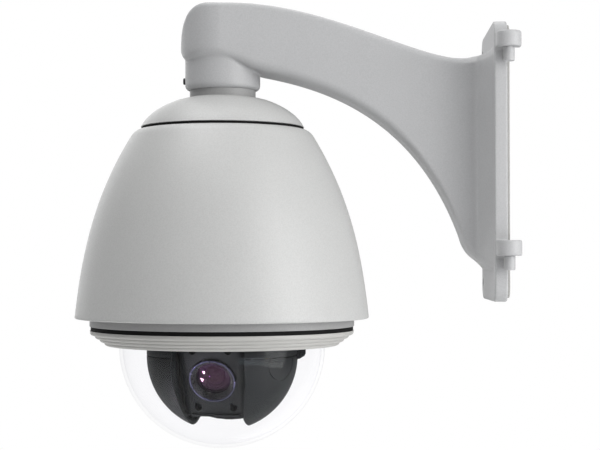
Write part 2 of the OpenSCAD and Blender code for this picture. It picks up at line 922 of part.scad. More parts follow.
module camera_bracket() {
    color([0.6, 0.61, 0.62])
    along_lens() difference() {
        union() {
            for (side = [-1, 1])
                translate([side > 0 ? body_half[0] : -20.6, -30.1, -20]) cube([1.6, 46, 34]);
            translate([-20.6, -30.1, -20]) cube([41.2, 1.6, 34]);
        }
        rotate([0, 90, 0]) translate([0, 0, -30]) cylinder(r = axle_r, h = 60);
    }
}

module camera_body() {
    color([0.16, 0.16, 0.17])
    along_lens() difference() {
        translate([-body_half[0], -body_half[1], body_z[0]])
            cube([2 * body_half[0], 2 * body_half[1], body_z[1] - body_z[0]]);
        translate([-body_half[0] + body_wall, -body_half[1] + body_wall, body_z[0] - cut])
            cube([
                2 * (body_half[0] - body_wall), 2 * (body_half[1] - body_wall),
                body_z[1] - body_z[0] - body_wall + cut
            ]);
        cylinder(r = barrel_r, h = 40);
        for (x = [-1, 1], y = [-1, 1])
            translate([x * bezel_screw_at[0], y * bezel_screw_at[1], 5]) cylinder(r = 1.2, h = 20);
    }
}

// Section of the bezel across the tilt axis: a flat face with round flanks
bezel_half_section = concat(
    [[0, face_reach], [18.5, face_reach]],
    arc([18.5, face_reach - 6], 6, 80, 0, 6),
    [[bezel_half, 18]]
);

module camera_bezel() {
    outer = concat(reversed([for (p = bezel_half_section) [-p[0], p[1]]]), bezel_half_section);
    color([0.1, 0.1, 0.11])
    along_lens() difference() {
        union() {
            difference() {
                rotate([90, 0, 0]) mirror([0, 0, 1]) translate([0, 0, -30])
                    linear_extrude(height = 60) polygon(outer);
                translate([-bezel_half + 1.8, -28.3, 10])
                    cube([2 * bezel_half - 3.6, 56.6, face_reach - 18.5]);
                translate([-18, -28.3, 10]) cube([36, 56.6, face_reach - 12.5]);
            }
            for (x = [-1, 1], y = [-1, 1])
                translate([x * bezel_screw_at[0], y * bezel_screw_at[1], body_z[1]])
                    cylinder(r = 2.6, h = 20);
            translate([-18.5, -30.3, face_reach - 3]) cube([37, 1.8, 4]);
        }
        translate([0, 0, 10]) cylinder(r = lens_ring_r + 0.2, h = 40);
        for (x = [-1, 1], y = [-1, 1])
            translate([x * bezel_screw_at[0], y * bezel_screw_at[1], 0]) {
                translate([0, 0, 5]) cylinder(r = 1.3, h = 40);
                translate([0, 0, face_reach - 1.8]) cylinder(r = 2.2, h = 10);
            }
    }
}

module bezel_screws() {
    color([0.03, 0.03, 0.03])
    along_lens() for (x = [-1, 1], y = [-1, 1])
        translate([x * bezel_screw_at[0], y * bezel_screw_at[1], face_reach - 1.8])
            mirror([0, 0, 1]) screw(1.2, 23, 2, 1.2);
}

module lens_barrel() {
    color([0.1, 0.1, 0.1])
    along_lens() difference() {
        union() {
            translate([0, 0, -16]) tube(barrel_r, barrel_r - 1.6, 50);
            translate([0, 0, -1]) cylinder(r = barrel_r - 0.5, h = 1.5);
        }
        translate([0, 0, -3]) cylinder(r = 4, h = 5);
    }
}

module lens_ring() {
    color([0.08, 0.08, 0.09])
    along_lens() rotate_extrude() polygon([
        [barrel_r, 30], [lens_ring_r, 30], [lens_ring_r, face_reach + 1.6],
        [lens_ring_r - 0.8, face_reach + 2.4], [lens_ring_r - 2, face_reach + 2.4],
        [12.6, 34.6], [12.6, 34], [barrel_r, 34]
    ]);
}

module front_glass() {
    color([0.3, 0.2, 0.45, 0.6])
    along_lens() {
        translate([0, 0, 29.5]) cylinder(r = barrel_r - 1.6, h = 4.5);
        intersection() {
            translate([0, 0, 6.5]) sphere(r = 30);
            translate([0, 0, 33.9]) cylinder(r = 12.2, h = 6);
        }
    }
}

module zoom_group() {
    color([0.25, 0.25, 0.28])
    along_lens() difference() {
        translate([0, 0, 12]) cylinder(r = barrel_r - 1.9, h = 9);
        translate([0, 0, 51.5]) sphere(r = 32);
        translate([0, 0, -18.5]) sphere(r = 32);
    }
}

module focus_group() {
    color([0.25, 0.25, 0.28])
    along_lens() difference() {
        translate([0, 0, -10]) cylinder(r = barrel_r - 1.9, h = 5);
        translate([0, 0, 24]) sphere(r = 30.5);
    }
}

module cut_filter() {
    color([0.2, 0.5, 0.55])
    along_lens() translate([-6, -6, -18.6]) cube([12, 12, 1]);
}

module sensor_board() {
    color([0.07, 0.28, 0.16])
    along_lens() {
        translate([-17.2, -26.7, -23.2]) cube([34.4, 53.4, board_t]);
        translate([-5, -4, -21.6]) cube([10, 8, 1.8]);
    }
}

module processor_board() {
    color([0.07, 0.28, 0.16])
    along_lens() {
        translate([-17.2, -26.7, -29.6]) cube([34.4, 53.4, board_t]);
        translate([-8, -10, -28]) cube([16, 16, 1.6]);
        for (x = [-1, 1], y = [-1, 1])
            translate([x * 14, y * 23, -28]) cylinder(r = 2, h = 4.8);
    }
}

wall_arm();
hinge_pins();
flange_gasket();
collar_set_screws();
top_cap();
cap_gasket();
cap_screws();
bell_shield();
inner_housing();
cable_gland();
seal_ring();
trim_ring();
trim_lock_screw();
bubble();
bubble_gasket();
clamp_ring();
clamp_screws();
chassis_plate();
chassis_standoffs();
chassis_screws();
power_board();
main_board();
board_posts();
heater();
blower_frame();
blower_rotor();
slip_ring_stator();
slip_ring_rotor();
bearing_housing();
bearing_outer_race();
bearing_balls();
bearing_inner_race();
pan_hub();
hub_screws();
turntable();
pan_gear();
pan_motor();
pan_pinion();
yoke_arms();
tilt_bushes();
tilt_axles();
tilt_gear();
tilt_motor();
tilt_pinion();
shroud_upper();
shroud_lower();
shroud_latch();
camera_bracket();
camera_body();
camera_bezel();
bezel_screws();
lens_barrel();
lens_ring();
front_glass();
zoom_group();
focus_group();
cut_filter();
sensor_board();
processor_board();
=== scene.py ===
import json
import math

import bmesh
import bpy
import numpy as np
from mathutils import Matrix, Vector


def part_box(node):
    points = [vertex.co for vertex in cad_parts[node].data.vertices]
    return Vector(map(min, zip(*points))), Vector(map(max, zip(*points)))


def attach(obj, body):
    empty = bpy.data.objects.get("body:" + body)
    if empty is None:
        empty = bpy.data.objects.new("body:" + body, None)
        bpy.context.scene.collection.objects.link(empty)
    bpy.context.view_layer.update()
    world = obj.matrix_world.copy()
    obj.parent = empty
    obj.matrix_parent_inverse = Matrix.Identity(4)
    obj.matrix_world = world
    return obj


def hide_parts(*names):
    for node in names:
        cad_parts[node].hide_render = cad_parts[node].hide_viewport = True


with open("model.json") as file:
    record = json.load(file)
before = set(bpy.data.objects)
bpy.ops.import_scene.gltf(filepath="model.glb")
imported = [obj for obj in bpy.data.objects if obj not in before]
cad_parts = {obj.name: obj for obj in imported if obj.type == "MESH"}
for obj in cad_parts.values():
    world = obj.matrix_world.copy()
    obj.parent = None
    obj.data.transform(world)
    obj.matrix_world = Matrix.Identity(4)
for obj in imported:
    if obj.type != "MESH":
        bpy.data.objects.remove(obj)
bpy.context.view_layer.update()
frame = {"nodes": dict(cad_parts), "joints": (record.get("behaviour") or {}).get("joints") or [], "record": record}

# ---- Frame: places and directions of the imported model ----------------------

MM = 0.001
SCENE = bpy.context.scene
JOINTS = {j["name"]: j for j in frame["joints"]}
SLOT_OF = {s["node"]: s["material_slot"] for s in frame["record"]["subparts"]}


def box_mm(node):
    lo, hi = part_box(node)
    return lo / MM, hi / MM


def facing(x, z):
    """The turn that takes X and Z to the given directions."""
    x, z = Vector(x).normalized(), Vector(z).normalized()
    return Matrix((x, z.cross(x), z)).transposed().to_4x4()


def axes(x, z, origin):
    """A frame in millimetres with the given X and Z directions."""
    return Matrix.Translation(origin) @ facing(x, z) @ Matrix.Scale(MM, 4)


BELL_LO, BELL_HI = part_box("bell_shield")
DOME_X = (BELL_LO.x + BELL_HI.x) / 2
TILT_AT = Vector(JOINTS["tilt"]["pos_m"])
TILT_DIR = Vector(JOINTS["tilt"]["axis"])
LENS_DIR = Vector(JOINTS["zoom"]["axis"])
UP = Vector((0, 0, 1))

ROW = Matrix.Scale(MM, 4)
DOME = axes((1, 0, 0), UP, (DOME_X, 0, 0))
BALL = axes(TILT_DIR, UP, TILT_AT)
LENS = axes(TILT_DIR, LENS_DIR, TILT_AT)

# ---- Outlines --------------------------------------------------------------


def bezier(a, b, c, d, n):
    t = np.linspace(0, 1, n + 1)[:, None]
    a, b, c, d = (np.array(p, float) for p in (a, b, c, d))
    p = a * (1 - t) ** 3 + 3 * b * t * (1 - t) ** 2 + 3 * c * t * t * (1 - t) + d * t**3
    return [tuple(q) for q in p]


def arc(centre, r, a0, a1, n):
    t = np.radians(np.linspace(a0, a1, n + 1))
    return [(centre[0] + r * math.cos(a), centre[1] + r * math.sin(a)) for a in t]


SHARP_TURN = 12


def soften(points, radius, steps=4):
    """The closed outline with each corner sharper than SHARP_TURN degrees rounded."""
    out, n = [], len(points)
    for i, p in enumerate(points):
        p = Vector(p)
        a, b = Vector(points[i - 1]) - p, Vector(points[(i + 1) % n]) - p
        if a.length < 1e-9 or b.length < 1e-9:
            continue
        turn = math.pi - a.angle(b)
        if math.degrees(turn) < SHARP_TURN:
            out.append(tuple(p))
            continue
        reach = min(radius * math.tan(turn / 2), 0.45 * a.length, 0.45 * b.length)
        p0, p1 = p + a.normalized() * reach, p + b.normalized() * reach
        for k in range(steps + 1):
            u = k / steps
            out.append(tuple(p0 * (1 - u) ** 2 + p * 2 * u * (1 - u) + p1 * u * u))
    return out


def offset(points, d, closed=True):
    """The outline moved sideways by d, outward for an anticlockwise one."""
    out, n = [], len(points)
    for i, p in enumerate(points):
        p = Vector(p)
        before = Vector(points[i - 1]) if closed or i else None
        after = Vector(points[(i + 1) % n]) if closed or i < n - 1 else None
        pairs = [(a, b) for a, b in ((before, p), (p, after)) if a is not None and b is not None]
        sides = [(b - a).normalized() for a, b in pairs]
        normals = [Vector((s.y, -s.x)) for s in sides]
        mid = sum(normals, Vector((0, 0))).normalized()
        out.append(tuple(p + mid * d / max(0.4, mid.dot(normals[0]))))
    return out


def rounded_rect(w, h, r, steps=8):
    out = []
    for sx, sy, a in ((1, 1, 0), (-1, 1, 90), (-1, -1, 180), (1, -1, 270)):
        out += arc((sx * (w / 2 - r), sy * (h / 2 - r)), r, a, a + 90, steps)
    return out


def on_axis(points):
    """The outline's points that all but touch the axis, put on it."""
    return [(0 if r < 1e-3 else r, z) for r, z in points]


# ---- Meshes ----------------------------------------------------------------


def lathe(profile, steps=144):
    """A closed outline [(r, z)] turned about Z."""
    verts, faces, rings = [], [], []
    for r, z in profile:
        if r < 1e-6:
            rings.append([len(verts)] * steps)
            verts.append((0, 0, z))
            continue
        rings.append(list(range(len(verts), len(verts) + steps)))
        for k in range(steps):
            a = 2 * math.pi * k / steps
            verts.append((r * math.cos(a), r * math.sin(a), z))
    n = len(profile)
    for i in range(n):
        a, b = rings[i], rings[(i + 1) % n]
        for k in range(steps):
            m = (k + 1) % steps
            face = list(dict.fromkeys((a[k], a[m], b[m], b[k])))
            if len(face) > 2:
                faces.append(face)
    return verts, faces


def stack(layers):
    """Loops of equal length joined into a closed solid with flat ends."""
    verts = [v for layer in layers for v in layer]
    n, faces = len(layers[0]), []
    for i in range(len(layers) - 1):
        for k in range(n):
            m = (k + 1) % n
            faces.append((i * n + k, i * n + m, (i + 1) * n + m, (i + 1) * n + k))
    faces.append(tuple(range(n))[::-1])
    faces.append(tuple(range((len(layers) - 1) * n, len(layers) * n)))
    return verts, faces


def prism(outline, z0, z1, edge=0.0, steps=4, edge0=None):
    """An outline raised from z0 to z1, its end edges rounded by edge, or by edge0 at z0."""
    edge0 = edge if edge0 is None else edge0
    layers = []
    for z, e, way in ((z0, edge0, 1), (z1, edge, -1)):
        ring = []
        for k in range(steps + 1 if e else 1):
            a = math.pi / 2 * k / steps
            inset = e * (1 - math.sin(a)) if e else 0
            height = e * (1 - math.cos(a)) if e else 0
            ring.append([(x, y, z + way * height) for x, y in offset(outline, -inset)])
        layers += ring if way > 0 else ring[::-1]
    return stack(layers)


def moved(data, matrix):
    verts, faces = data
    return [matrix @ Vector(v) for v in verts], faces


def joined(*many):
    verts, faces = [], []
    for v, f in many:
        faces += [tuple(i + len(verts) for i in g) for g in f]
        verts += list(v)
    return verts, faces


def thing(name, data, place=ROW):
    """A new object made from a shape in millimetres, set in the given frame."""
    verts, faces = moved(data, place)
    mesh = bpy.data.meshes.new(name)
    mesh.from_pydata(verts, [], faces)
    mesh.validate()
    o = bpy.data.objects.new(name, mesh)
    SCENE.collection.objects.link(o)
    tidy = bmesh.new()
    tidy.from_mesh(mesh)
    bmesh.ops.recalc_face_normals(tidy, faces=tidy.faces)
    tidy.to_mesh(mesh)
    tidy.free()
    return o


def applied(o):
    """The modifiers become the mesh."""
    graph = bpy.context.evaluated_depsgraph_get()
    made = bpy.data.meshes.new_from_object(o.evaluated_get(graph))
    o.modifiers.clear()
    o.data = made
    return o


def cut(o, *cutters, way="DIFFERENCE"):
    """A boolean with each cutter in turn. The cutters are removed."""
    for c in cutters:
        m = o.modifiers.new("cut", "BOOLEAN")
        m.operation, m.solver, m.object = way, "MANIFOLD", c
    applied(o)
    for c in cutters:
        bpy.data.objects.remove(c)
    return o


def remeshed(o, voxel, smooth):
    """Voxels merge and round the parts, then smoothing passes even them out."""
    m = o.modifiers.new("cast", "REMESH")
    m.mode, m.voxel_size = "VOXEL", voxel * MM
    s = o.modifiers.new("ease", "SMOOTH")
    s.iterations, s.factor = smooth, 0.5
    return applied(o)


def ready(o, body, slot, nodes=(), sharp=38):
    """The piece rides on its body in its finish and stands for its CAD nodes."""
    o.data.shade_smooth()
    o.data.set_sharp_from_angle(angle=math.radians(sharp))
    o.data.materials.clear()
    o.data.materials.append(FINISH[slot])
    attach(o, body)
    if nodes:
        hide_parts(*nodes)
    return o


# ---- Finishes --------------------------------------------------------------


class Nodes:
    """Shorthand for building one material's tree."""

    def __init__(self, name):
        self.material = bpy.data.materials.new(name)
        self.material.use_nodes = True
        self.tree = self.material.node_tree
        self.tree.nodes.clear()
        self.out = self.tree.nodes.new("ShaderNodeOutputMaterial")
        self.place = self.add("ShaderNodeTexCoord").outputs["Object"]

    def add(self, kind):
        return self.tree.nodes.new(kind)

    def put(self, socket, value):
        """Link a socket to the input, or set it to a value. A colour gets its fourth channel."""
        if isinstance(value, bpy.types.NodeSocket):
            self.tree.links.new(value, socket)
        elif socket.type == "RGBA" and len(value) == 3:
            socket.default_value = (*value, 1)
        else:
            socket.default_value = value

    def noise(self, scale, detail=3.0, rough=0.55):
        n = self.add("ShaderNodeTexNoise")
        self.put(n.inputs["Vector"], self.place)
        self.put(n.inputs["Scale"], scale)
        self.put(n.inputs["Detail"], detail)
        self.put(n.inputs["Roughness"], rough)
        return n.outputs["Fac"]

    def cells(self, scale):
        n = self.add("ShaderNodeTexVoronoi")
        self.put(n.inputs["Vector"], self.place)
        self.put(n.inputs["Scale"], scale)
        return n.outputs["Distance"]

    def ranged(self, value, low, high, to_low, to_high):
        n = self.add("ShaderNodeMapRange")
        for i, v in enumerate((value, low, high, to_low, to_high)):
            self.put(n.inputs[i], v)
        return n.outputs[0]

    def mixed(self, factor, a, b):
        n = self.add("ShaderNodeMix")
        n.data_type = "RGBA"
        self.put(n.inputs[0], factor)
        self.put(n.inputs[6], a)
        self.put(n.inputs[7], b)
        return n.outputs[2]

    def maths(self, how, a, b):
        n = self.add("ShaderNodeMath")
        n.operation = how
        self.put(n.inputs[0], a)
        self.put(n.inputs[1], b)
        return n.outputs[0]

    def bump(self, height, strength, distance, before=None):
        n = self.add("ShaderNodeBump")
        self.put(n.inputs["Height"], height)
        self.put(n.inputs["Strength"], strength)
        self.put(n.inputs["Distance"], distance)
        if before is not None:
            self.put(n.inputs["Normal"], before)
        return n.outputs["Normal"]

    def mirror_share(self, straight, edge=1.0):
        """How much a clear surface mirrors, from head on to edge on."""
        w = self.add("ShaderNodeLayerWeight")
        w.inputs["Blend"].default_value = 0.5
        rise = self.maths("POWER", w.outputs["Facing"], 5.0)
        return self.maths("ADD", self.maths("MULTIPLY", rise, edge - straight), straight)

    def surface(self, shader):
        self.tree.links.new(shader, self.out.inputs["Surface"])
        return self.material


def tinted(c, k):
    """The colour made k times as bright."""
    return tuple(min(1.0, v * k) for v in c)


BLOTCH, BLOTCH_SPREAD, GRAIN_HEIGHT = 18.0, 0.05, 0.00006


def solid(name, color, rough, metallic=0.0, grain=1500.0, strength=0.35, rough_spread=0.06, specular=0.5,
          speckle=0.0):
    """A moulded, painted or machined finish: grain, blotches and uneven gloss."""
    k = Nodes(name)
    broad = k.noise(BLOTCH, 4.0, 0.6)
    fine = k.noise(grain, 2.0, 0.6)
    shade = k.ranged(broad, 0.3, 0.7, 0.0, 1.0)
    tone = k.mixed(shade, tinted(color, 1 - BLOTCH_SPREAD), tinted(color, 1 + BLOTCH_SPREAD))
    if speckle:
        dots = k.ranged(fine, 0.35, 0.65, 0.0, 1.0)
        tone = k.mixed(dots, k.mixed(speckle, tone, (0, 0, 0)), tone)
    gloss = k.ranged(k.noise(BLOTCH * 6, 3.0, 0.6), 0.3, 0.7, rough - rough_spread, rough + rough_spread)
    p = k.add("ShaderNodeBsdfPrincipled")
    k.put(p.inputs["Base Color"], tone)
    k.put(p.inputs["Roughness"], gloss)
    p.inputs["Metallic"].default_value = metallic
    p.inputs["Specular IOR Level"].default_value = specular
    k.put(p.inputs["Normal"], k.bump(fine, strength, GRAIN_HEIGHT))
    return k.surface(p.outputs[0])


def brushed(name, color, rough, stretch):
    """Rolled or turned metal: fine lines, long where the stretch is small."""
    k = Nodes(name)
    m = k.add("ShaderNodeMapping")
    k.put(m.inputs["Vector"], k.place)
    m.inputs["Scale"].default_value = stretch
    n = k.add("ShaderNodeTexNoise")
    k.put(n.inputs["Vector"], m.outputs[0])
    n.inputs["Scale"].default_value = 1.0
    n.inputs["Detail"].default_value = 3.0
    lines = n.outputs["Fac"]
    tone = k.mixed(k.ranged(lines, 0.3, 0.7, 0, 1), tinted(color, 0.86), tinted(color, 1.08))
    p = k.add("ShaderNodeBsdfPrincipled")
    k.put(p.inputs["Base Color"], tone)
    k.put(p.inputs["Roughness"], k.ranged(lines, 0.3, 0.7, rough - 0.08, rough + 0.08))
    p.inputs["Metallic"].default_value = 1.0
    k.put(p.inputs["Normal"], k.bump(lines, 0.25, 0.00003))
    return k.surface(p.outputs[0])


def powder(name, color, rough):
    """Powder coat on cast metal: pebbled skin over a faintly uneven casting."""
    k = Nodes(name)
    pebble = k.noise(1150.0, 2.0, 0.5)
    pits = k.cells(900.0)
    wave = k.noise(55.0, 3.0, 0.5)
    broad = k.noise(9.0, 4.0, 0.6)
    tone = k.mixed(k.ranged(broad, 0.3, 0.7, 0, 1), tinted(color, 0.965), tinted(color, 1.025))
    tone = k.mixed(k.ranged(pebble, 0.36, 0.62, 0.14, 0.0), tone, tinted(color, 0.45))
    p = k.add("ShaderNodeBsdfPrincipled")
    k.put(p.inputs["Base Color"], tone)
    k.put(p.inputs["Roughness"], k.ranged(pebble, 0.3, 0.7, rough + 0.07, rough - 0.07))
    p.inputs["Specular IOR Level"].default_value = 0.5
    skin = k.maths("ADD", pebble, k.maths("MULTIPLY", pits, 0.5))
    normal = k.bump(wave, 0.12, 0.0006)
    k.put(p.inputs["Normal"], k.bump(skin, 0.3, 0.00012, normal))
    return k.surface(p.outputs[0])


def clear(name, tint):
    """Thin clear plastic: it lets light straight through and mirrors at its edges."""
    k = Nodes(name)
    t = k.add("ShaderNodeBsdfTransparent")
    t.inputs["Color"].default_value = (*tint, 1)
    g = k.add("ShaderNodeBsdfGlossy")
    k.put(g.inputs["Roughness"], k.ranged(k.noise(40.0), 0.3, 0.7, 0.03, 0.06))
    g.inputs["Color"].default_value = (1, 1, 1, 1)
    m = k.add("ShaderNodeMixShader")
    k.put(m.inputs[0], k.mirror_share(0.010, 0.15))
    k.tree.links.new(t.outputs[0], m.inputs[1])
    k.tree.links.new(g.outputs[0], m.inputs[2])
    return k.surface(m.outputs[0])


def lens_glass(name, deep, sheen):
    """Coated lens glass: dark inside, with a coloured mirror on its face."""
    k = Nodes(name)
    t = k.add("ShaderNodeBsdfTransparent")
    k.put(t.inputs["Color"], k.mixed(k.noise(90.0), deep, tinted(deep, 1.25)))
    g = k.add("ShaderNodeBsdfGlossy")
    k.put(g.inputs["Color"], k.mixed(k.noise(30.0), sheen, tinted(sheen, 1.2)))
    g.inputs["Roughness"].default_value = 0.04
    m = k.add("ShaderNodeMixShader")
    k.put(m.inputs[0], k.mirror_share(0.03))
    k.tree.links.new(t.outputs[0], m.inputs[1])
    k.tree.links.new(g.outputs[0], m.inputs[2])
    return k.surface(m.outputs[0])


def board(name):
    """A circuit board: a grid of green fields and paler lines with coppery spots."""
    k = Nodes(name)
    b = k.add("ShaderNodeTexBrick")
    k.put(b.inputs["Vector"], k.place)
    b.inputs["Scale"].default_value = 260.0
    b.inputs["Color1"].default_value = (0.015, 0.09, 0.035, 1)
    b.inputs["Color2"].default_value = (0.02, 0.12, 0.045, 1)
    b.inputs["Mortar"].default_value = (0.10, 0.20, 0.08, 1)
    b.inputs["Mortar Size"].default_value = 0.05
    p = k.add("ShaderNodeBsdfPrincipled")
    copper = k.ranged(k.noise(300.0), 0.5, 0.62, 0, 0.5)
    k.put(p.inputs["Base Color"], k.mixed(copper, b.outputs["Color"], (0.35, 0.3, 0.12)))
    k.put(p.inputs["Roughness"], k.ranged(k.noise(500.0), 0.3, 0.7, 0.3, 0.5))
    k.put(p.inputs["Normal"], k.bump(b.outputs["Fac"], 0.3, 0.00004))
    return k.surface(p.outputs[0])


FINISH = {
    "casting_paint": powder("cast_powder_coat", (0.430, 0.432, 0.438), 0.5),
    "bell_paint": powder("spun_powder_coat", (0.500, 0.502, 0.496), 0.44),
    "trim_plastic": solid("trim_plastic", (0.44, 0.435, 0.42), 0.45, grain=2200.0, strength=0.2),
    "housing_metal": solid("housing_cast", (0.33, 0.33, 0.33), 0.5, grain=1300.0, speckle=0.1),
    "sheet_steel": brushed("rolled_steel", (0.5, 0.5, 0.51), 0.38, (60, 2600, 2600)),
    "fastener": brushed("plated_screws", (0.6, 0.6, 0.6), 0.3, (1800, 1800, 200)),
    "dark_fastener": solid("blackened_screws", (0.03, 0.03, 0.032), 0.4, metallic=0.6, grain=3000.0),
    "black_rubber": solid("black_rubber", (0.006, 0.006, 0.006), 0.75, grain=2600.0, specular=0.12),
    "grey_rubber": solid("grey_rubber", (0.42, 0.415, 0.40), 0.75, grain=1800.0, strength=0.5, speckle=0.2),
    "clear_dome": clear("clear_bubble", (0.993, 0.993, 0.997)),
    "black_plastic": solid("shroud_plastic", (0.013, 0.015, 0.0165), 0.55, grain=2300.0, strength=0.22,
                           rough_spread=0.04, specular=0.12),
    "bezel_plastic": solid("bezel_plastic", (0.016, 0.018, 0.021), 0.45, grain=2600.0, strength=0.2,
                           specular=0.25),
    "lens_glass": lens_glass("coated_glass", (0.60, 0.54, 0.68), (1.0, 0.44, 0.70)),
    "lens_black": solid("lens_black", (0.010, 0.010, 0.013), 0.24, grain=3200.0, strength=0.12),
    "circuit_board": board("board_mask"),
    "gear_plastic": solid("gear_plastic", (0.05, 0.05, 0.048), 0.4, grain=1500.0),
    "bearing_steel": brushed("bearing_steel", (0.62, 0.63, 0.65), 0.22, (400, 400, 3000)),
    "brass": brushed("brass", (0.62, 0.47, 0.2), 0.32, (1500, 1500, 300)),
    "motor_black": solid("motor_black", (0.03, 0.03, 0.03), 0.45, metallic=0.3),
    "ceramic": solid("ceramic", (0.7, 0.68, 0.62), 0.5, grain=900.0),
}
for node, o in frame["nodes"].items():
    o.data.materials.clear()
    o.data.materials.append(FINISH[SLOT_OF[node]])

# ---- Wall arm: one casting of arm, flange, knuckles and collar -------------

PAN_X = DOME_X / MM
GASKET_LO, GASKET_HI = box_mm("flange_gasket")
FLANGE_BACK = GASKET_LO.x
FLANGE_T = 9.5
FLANGE_FRONT = FLANGE_BACK - FLANGE_T
HEAD_R = 31
NECK_R = 24.15
COLLAR_R = 27.8
COLLAR_Z = 55.4
WALL = 4.5
ROUND_TOP, ROUND_TOP_MORE, ROUND_LOW = 3.6, 1.2, 7.0
BEVEL, BEVEL_FROM, BEVEL_FULL = 0.75, -150, -20

ARM_TOP = (
    bezier((-238, 84), (-238, 107.4), (-230, 117.2), (-216, 117.2), 30)
    + bezier((-204, 116.8), (-126, 119.4), (-53, 69.5), (-24, 77.4), 40)
    + bezier((-20.5, 77.9), (-15.5, 78), (-12.6, 78.6), (-10.9, 81), 8)
)
ARM_LOW = (
    [(-238, 84), (-236.6, 80.6), (-234, 77.8), (-230, 76.4), (-224, 76.6), (-215, 77.5), (-207, 77.2)]
    + [(-199, 75.4), (-191, 72.2), (-184, 69.4), (-178, 67.6)]
    + bezier((-172, 66.3), (-125, 56), (-63.5, 32.4), (-32, -52), 50)
    + bezier((-30.8, -56), (-26, -70), (-18, -69), (-10.9, -77.8), 16)
)
ARM_SIDE = (
    bezier((-207, 31), (-160, 25), (-110, 20.4), (-70, 20.8), 24)
    + bezier((-62, 21.1), (-45, 21.8), (-30, 22.8), (-22.5, 24.5), 24)
    + bezier((-21, 25.2), (-19.4, 26.6), (-16.5, 35), (-11, 48.5), 12)
)


def along(curve, x):
    return float(np.interp(x, [p[0] for p in curve], [p[1] for p in curve]))


def arm_half(x):
    """Half the arm's width: round over the collar, then as its side curve says."""
    if x < PAN_X:
        return math.sqrt(max(HEAD_R**2 - (x - PAN_X) ** 2, 1.0))
    return along(ARM_SIDE, x)


def arm_loft(stations, inset=0.0):
    """The arm's body. Towards the flange its round top corners turn into bevels."""
    layers = []
    for x in stations:
        half = max(arm_half(x) - inset, 0.6)
        top, low = along(ARM_TOP, x) - inset, along(ARM_LOW, x) + inset
        share = min(max((x - BEVEL_FROM) / (BEVEL_FULL - BEVEL_FROM), 0), 1)
        round_top = ROUND_TOP + ROUND_TOP_MORE * share
        loop = []
        for sx, high, a in ((1, True, 0), (-1, True, 90), (-1, False, 180), (1, False, 270)):
            r = min(round_top if high else ROUND_LOW, half * 0.95, (top - low) * 0.45)
            z = top - r if high else low + r
            curve = arc((sx * (half - r), z), r, a, a + 90, 8)
            if high:
                bevel = np.linspace(curve[0], curve[-1], len(curve))
                blend = np.array(curve) * (1 - BEVEL * share) + bevel * BEVEL * share
                curve = [tuple(p) for p in blend]
            loop += curve
        layers.append([(x, y, z) for y, z in loop])
    return stack(layers)


# Stations along the arm: close round the head, spread along the neck, close near the flange.
outer_x = [PAN_X - HEAD_R * math.cos(t) for t in np.linspace(0.06, math.pi / 2, 26)]
outer_x += list(np.linspace(PAN_X + 1.5, -36, 90)) + list(np.linspace(-35.2, FLANGE_FRONT + 0.2, 40)) + [-6]
inner_x = [x for x in outer_x if PAN_X - HEAD_R + WALL + 1 < x < FLANGE_FRONT - 3] + [-4]

PLATE_MORE, PLATE_ROUND, GASKET_ROUND = 5.5, 11, 8.25
GASKET_W, GASKET_H = GASKET_HI.y - GASKET_LO.y, GASKET_HI.z - GASKET_LO.z
plate_loop = rounded_rect(GASKET_W + PLATE_MORE, GASKET_H + PLATE_MORE, PLATE_ROUND)
plate_place = facing((0, 1, 0), (1, 0, 0))
flange = moved(prism(plate_loop, FLANGE_FRONT, FLANGE_BACK, 0.4, edge0=0.7), plate_place)

PIN_LO, PIN_HI = box_mm("hinge_pins")
PIN_X, PIN_Y = (PIN_LO.x + PIN_HI.x) / 2, (PIN_LO.y + PIN_HI.y) / 2
KNUCKLE_R, KNUCKLE_H, PIN_FREE = 8.7, 11, 10
KNUCKLE_Z = (PIN_HI.z - KNUCKLE_H + 2, PIN_LO.z + PIN_FREE)
KNUCKLE_FOOT_Y, KNUCKLE_ROOT_Y = -51.3, -47.3
knuckle_loop = (
    arc((PIN_X, PIN_Y), KNUCKLE_R, 180, 360, 24)
    + [(PIN_X + KNUCKLE_R, KNUCKLE_FOOT_Y), (FLANGE_BACK, KNUCKLE_FOOT_Y)]
    + [(FLANGE_BACK, KNUCKLE_ROOT_Y), (PIN_X - KNUCKLE_R, KNUCKLE_ROOT_Y)]
)
COLLAR_ROUND, COLLAR_TOP = 3.5, 84
collar_corner = arc((COLLAR_R - COLLAR_ROUND, COLLAR_Z + COLLAR_ROUND), COLLAR_ROUND, 270, 360, 8)
collar_shape = [(0, COLLAR_Z), *collar_corner, (COLLAR_R, COLLAR_TOP), (0, COLLAR_TOP)]

casting = thing(
    "arm_casting",
    joined(
        arm_loft(outer_x),
        flange,
        *[prism(knuckle_loop, z, z + KNUCKLE_H, 0.6) for z in KNUCKLE_Z],
        moved(lathe(collar_shape), Matrix.Translation((PAN_X, 0, 0))),
    ),
)
CAST_VOXEL = 0.75
remeshed(casting, CAST_VOXEL, 4)

WINDOW_W, WINDOW_Z, WINDOW_ROUND = 48, (15, 65), 3
SCREW_Y, SCREW_Z, SCREW_R = 43, 87, 3.3
SET_R, SET_Z, SET_ANGLES, SET_OUT = 2.5, 62.7, (180, 60), NECK_R + 3.7
window_loop = rounded_rect(WINDOW_W, WINDOW_Z[1] - WINDOW_Z[0], WINDOW_ROUND)
window_place = plate_place @ Matrix.Translation((0, sum(WINDOW_Z) / 2, 0))
window = thing("window", moved(prism(window_loop, -18, 4), window_place))
BORE_R, BORE_LOW, BORE_TOP = NECK_R + 0.7, COLLAR_Z - 3, 79
bore = thing("bore", lathe([(0, BORE_LOW), (BORE_R, BORE_LOW), (BORE_R, BORE_TOP), (0, BORE_TOP)]), DOME)
drills = [
    moved(lathe([(0, -14), (SCREW_R, -14), (SCREW_R, 4), (0, 4)], 40),
          plate_place @ Matrix.Translation((SCREW_Y, z, 0)))
    for z in (-SCREW_Z, SCREW_Z)
]
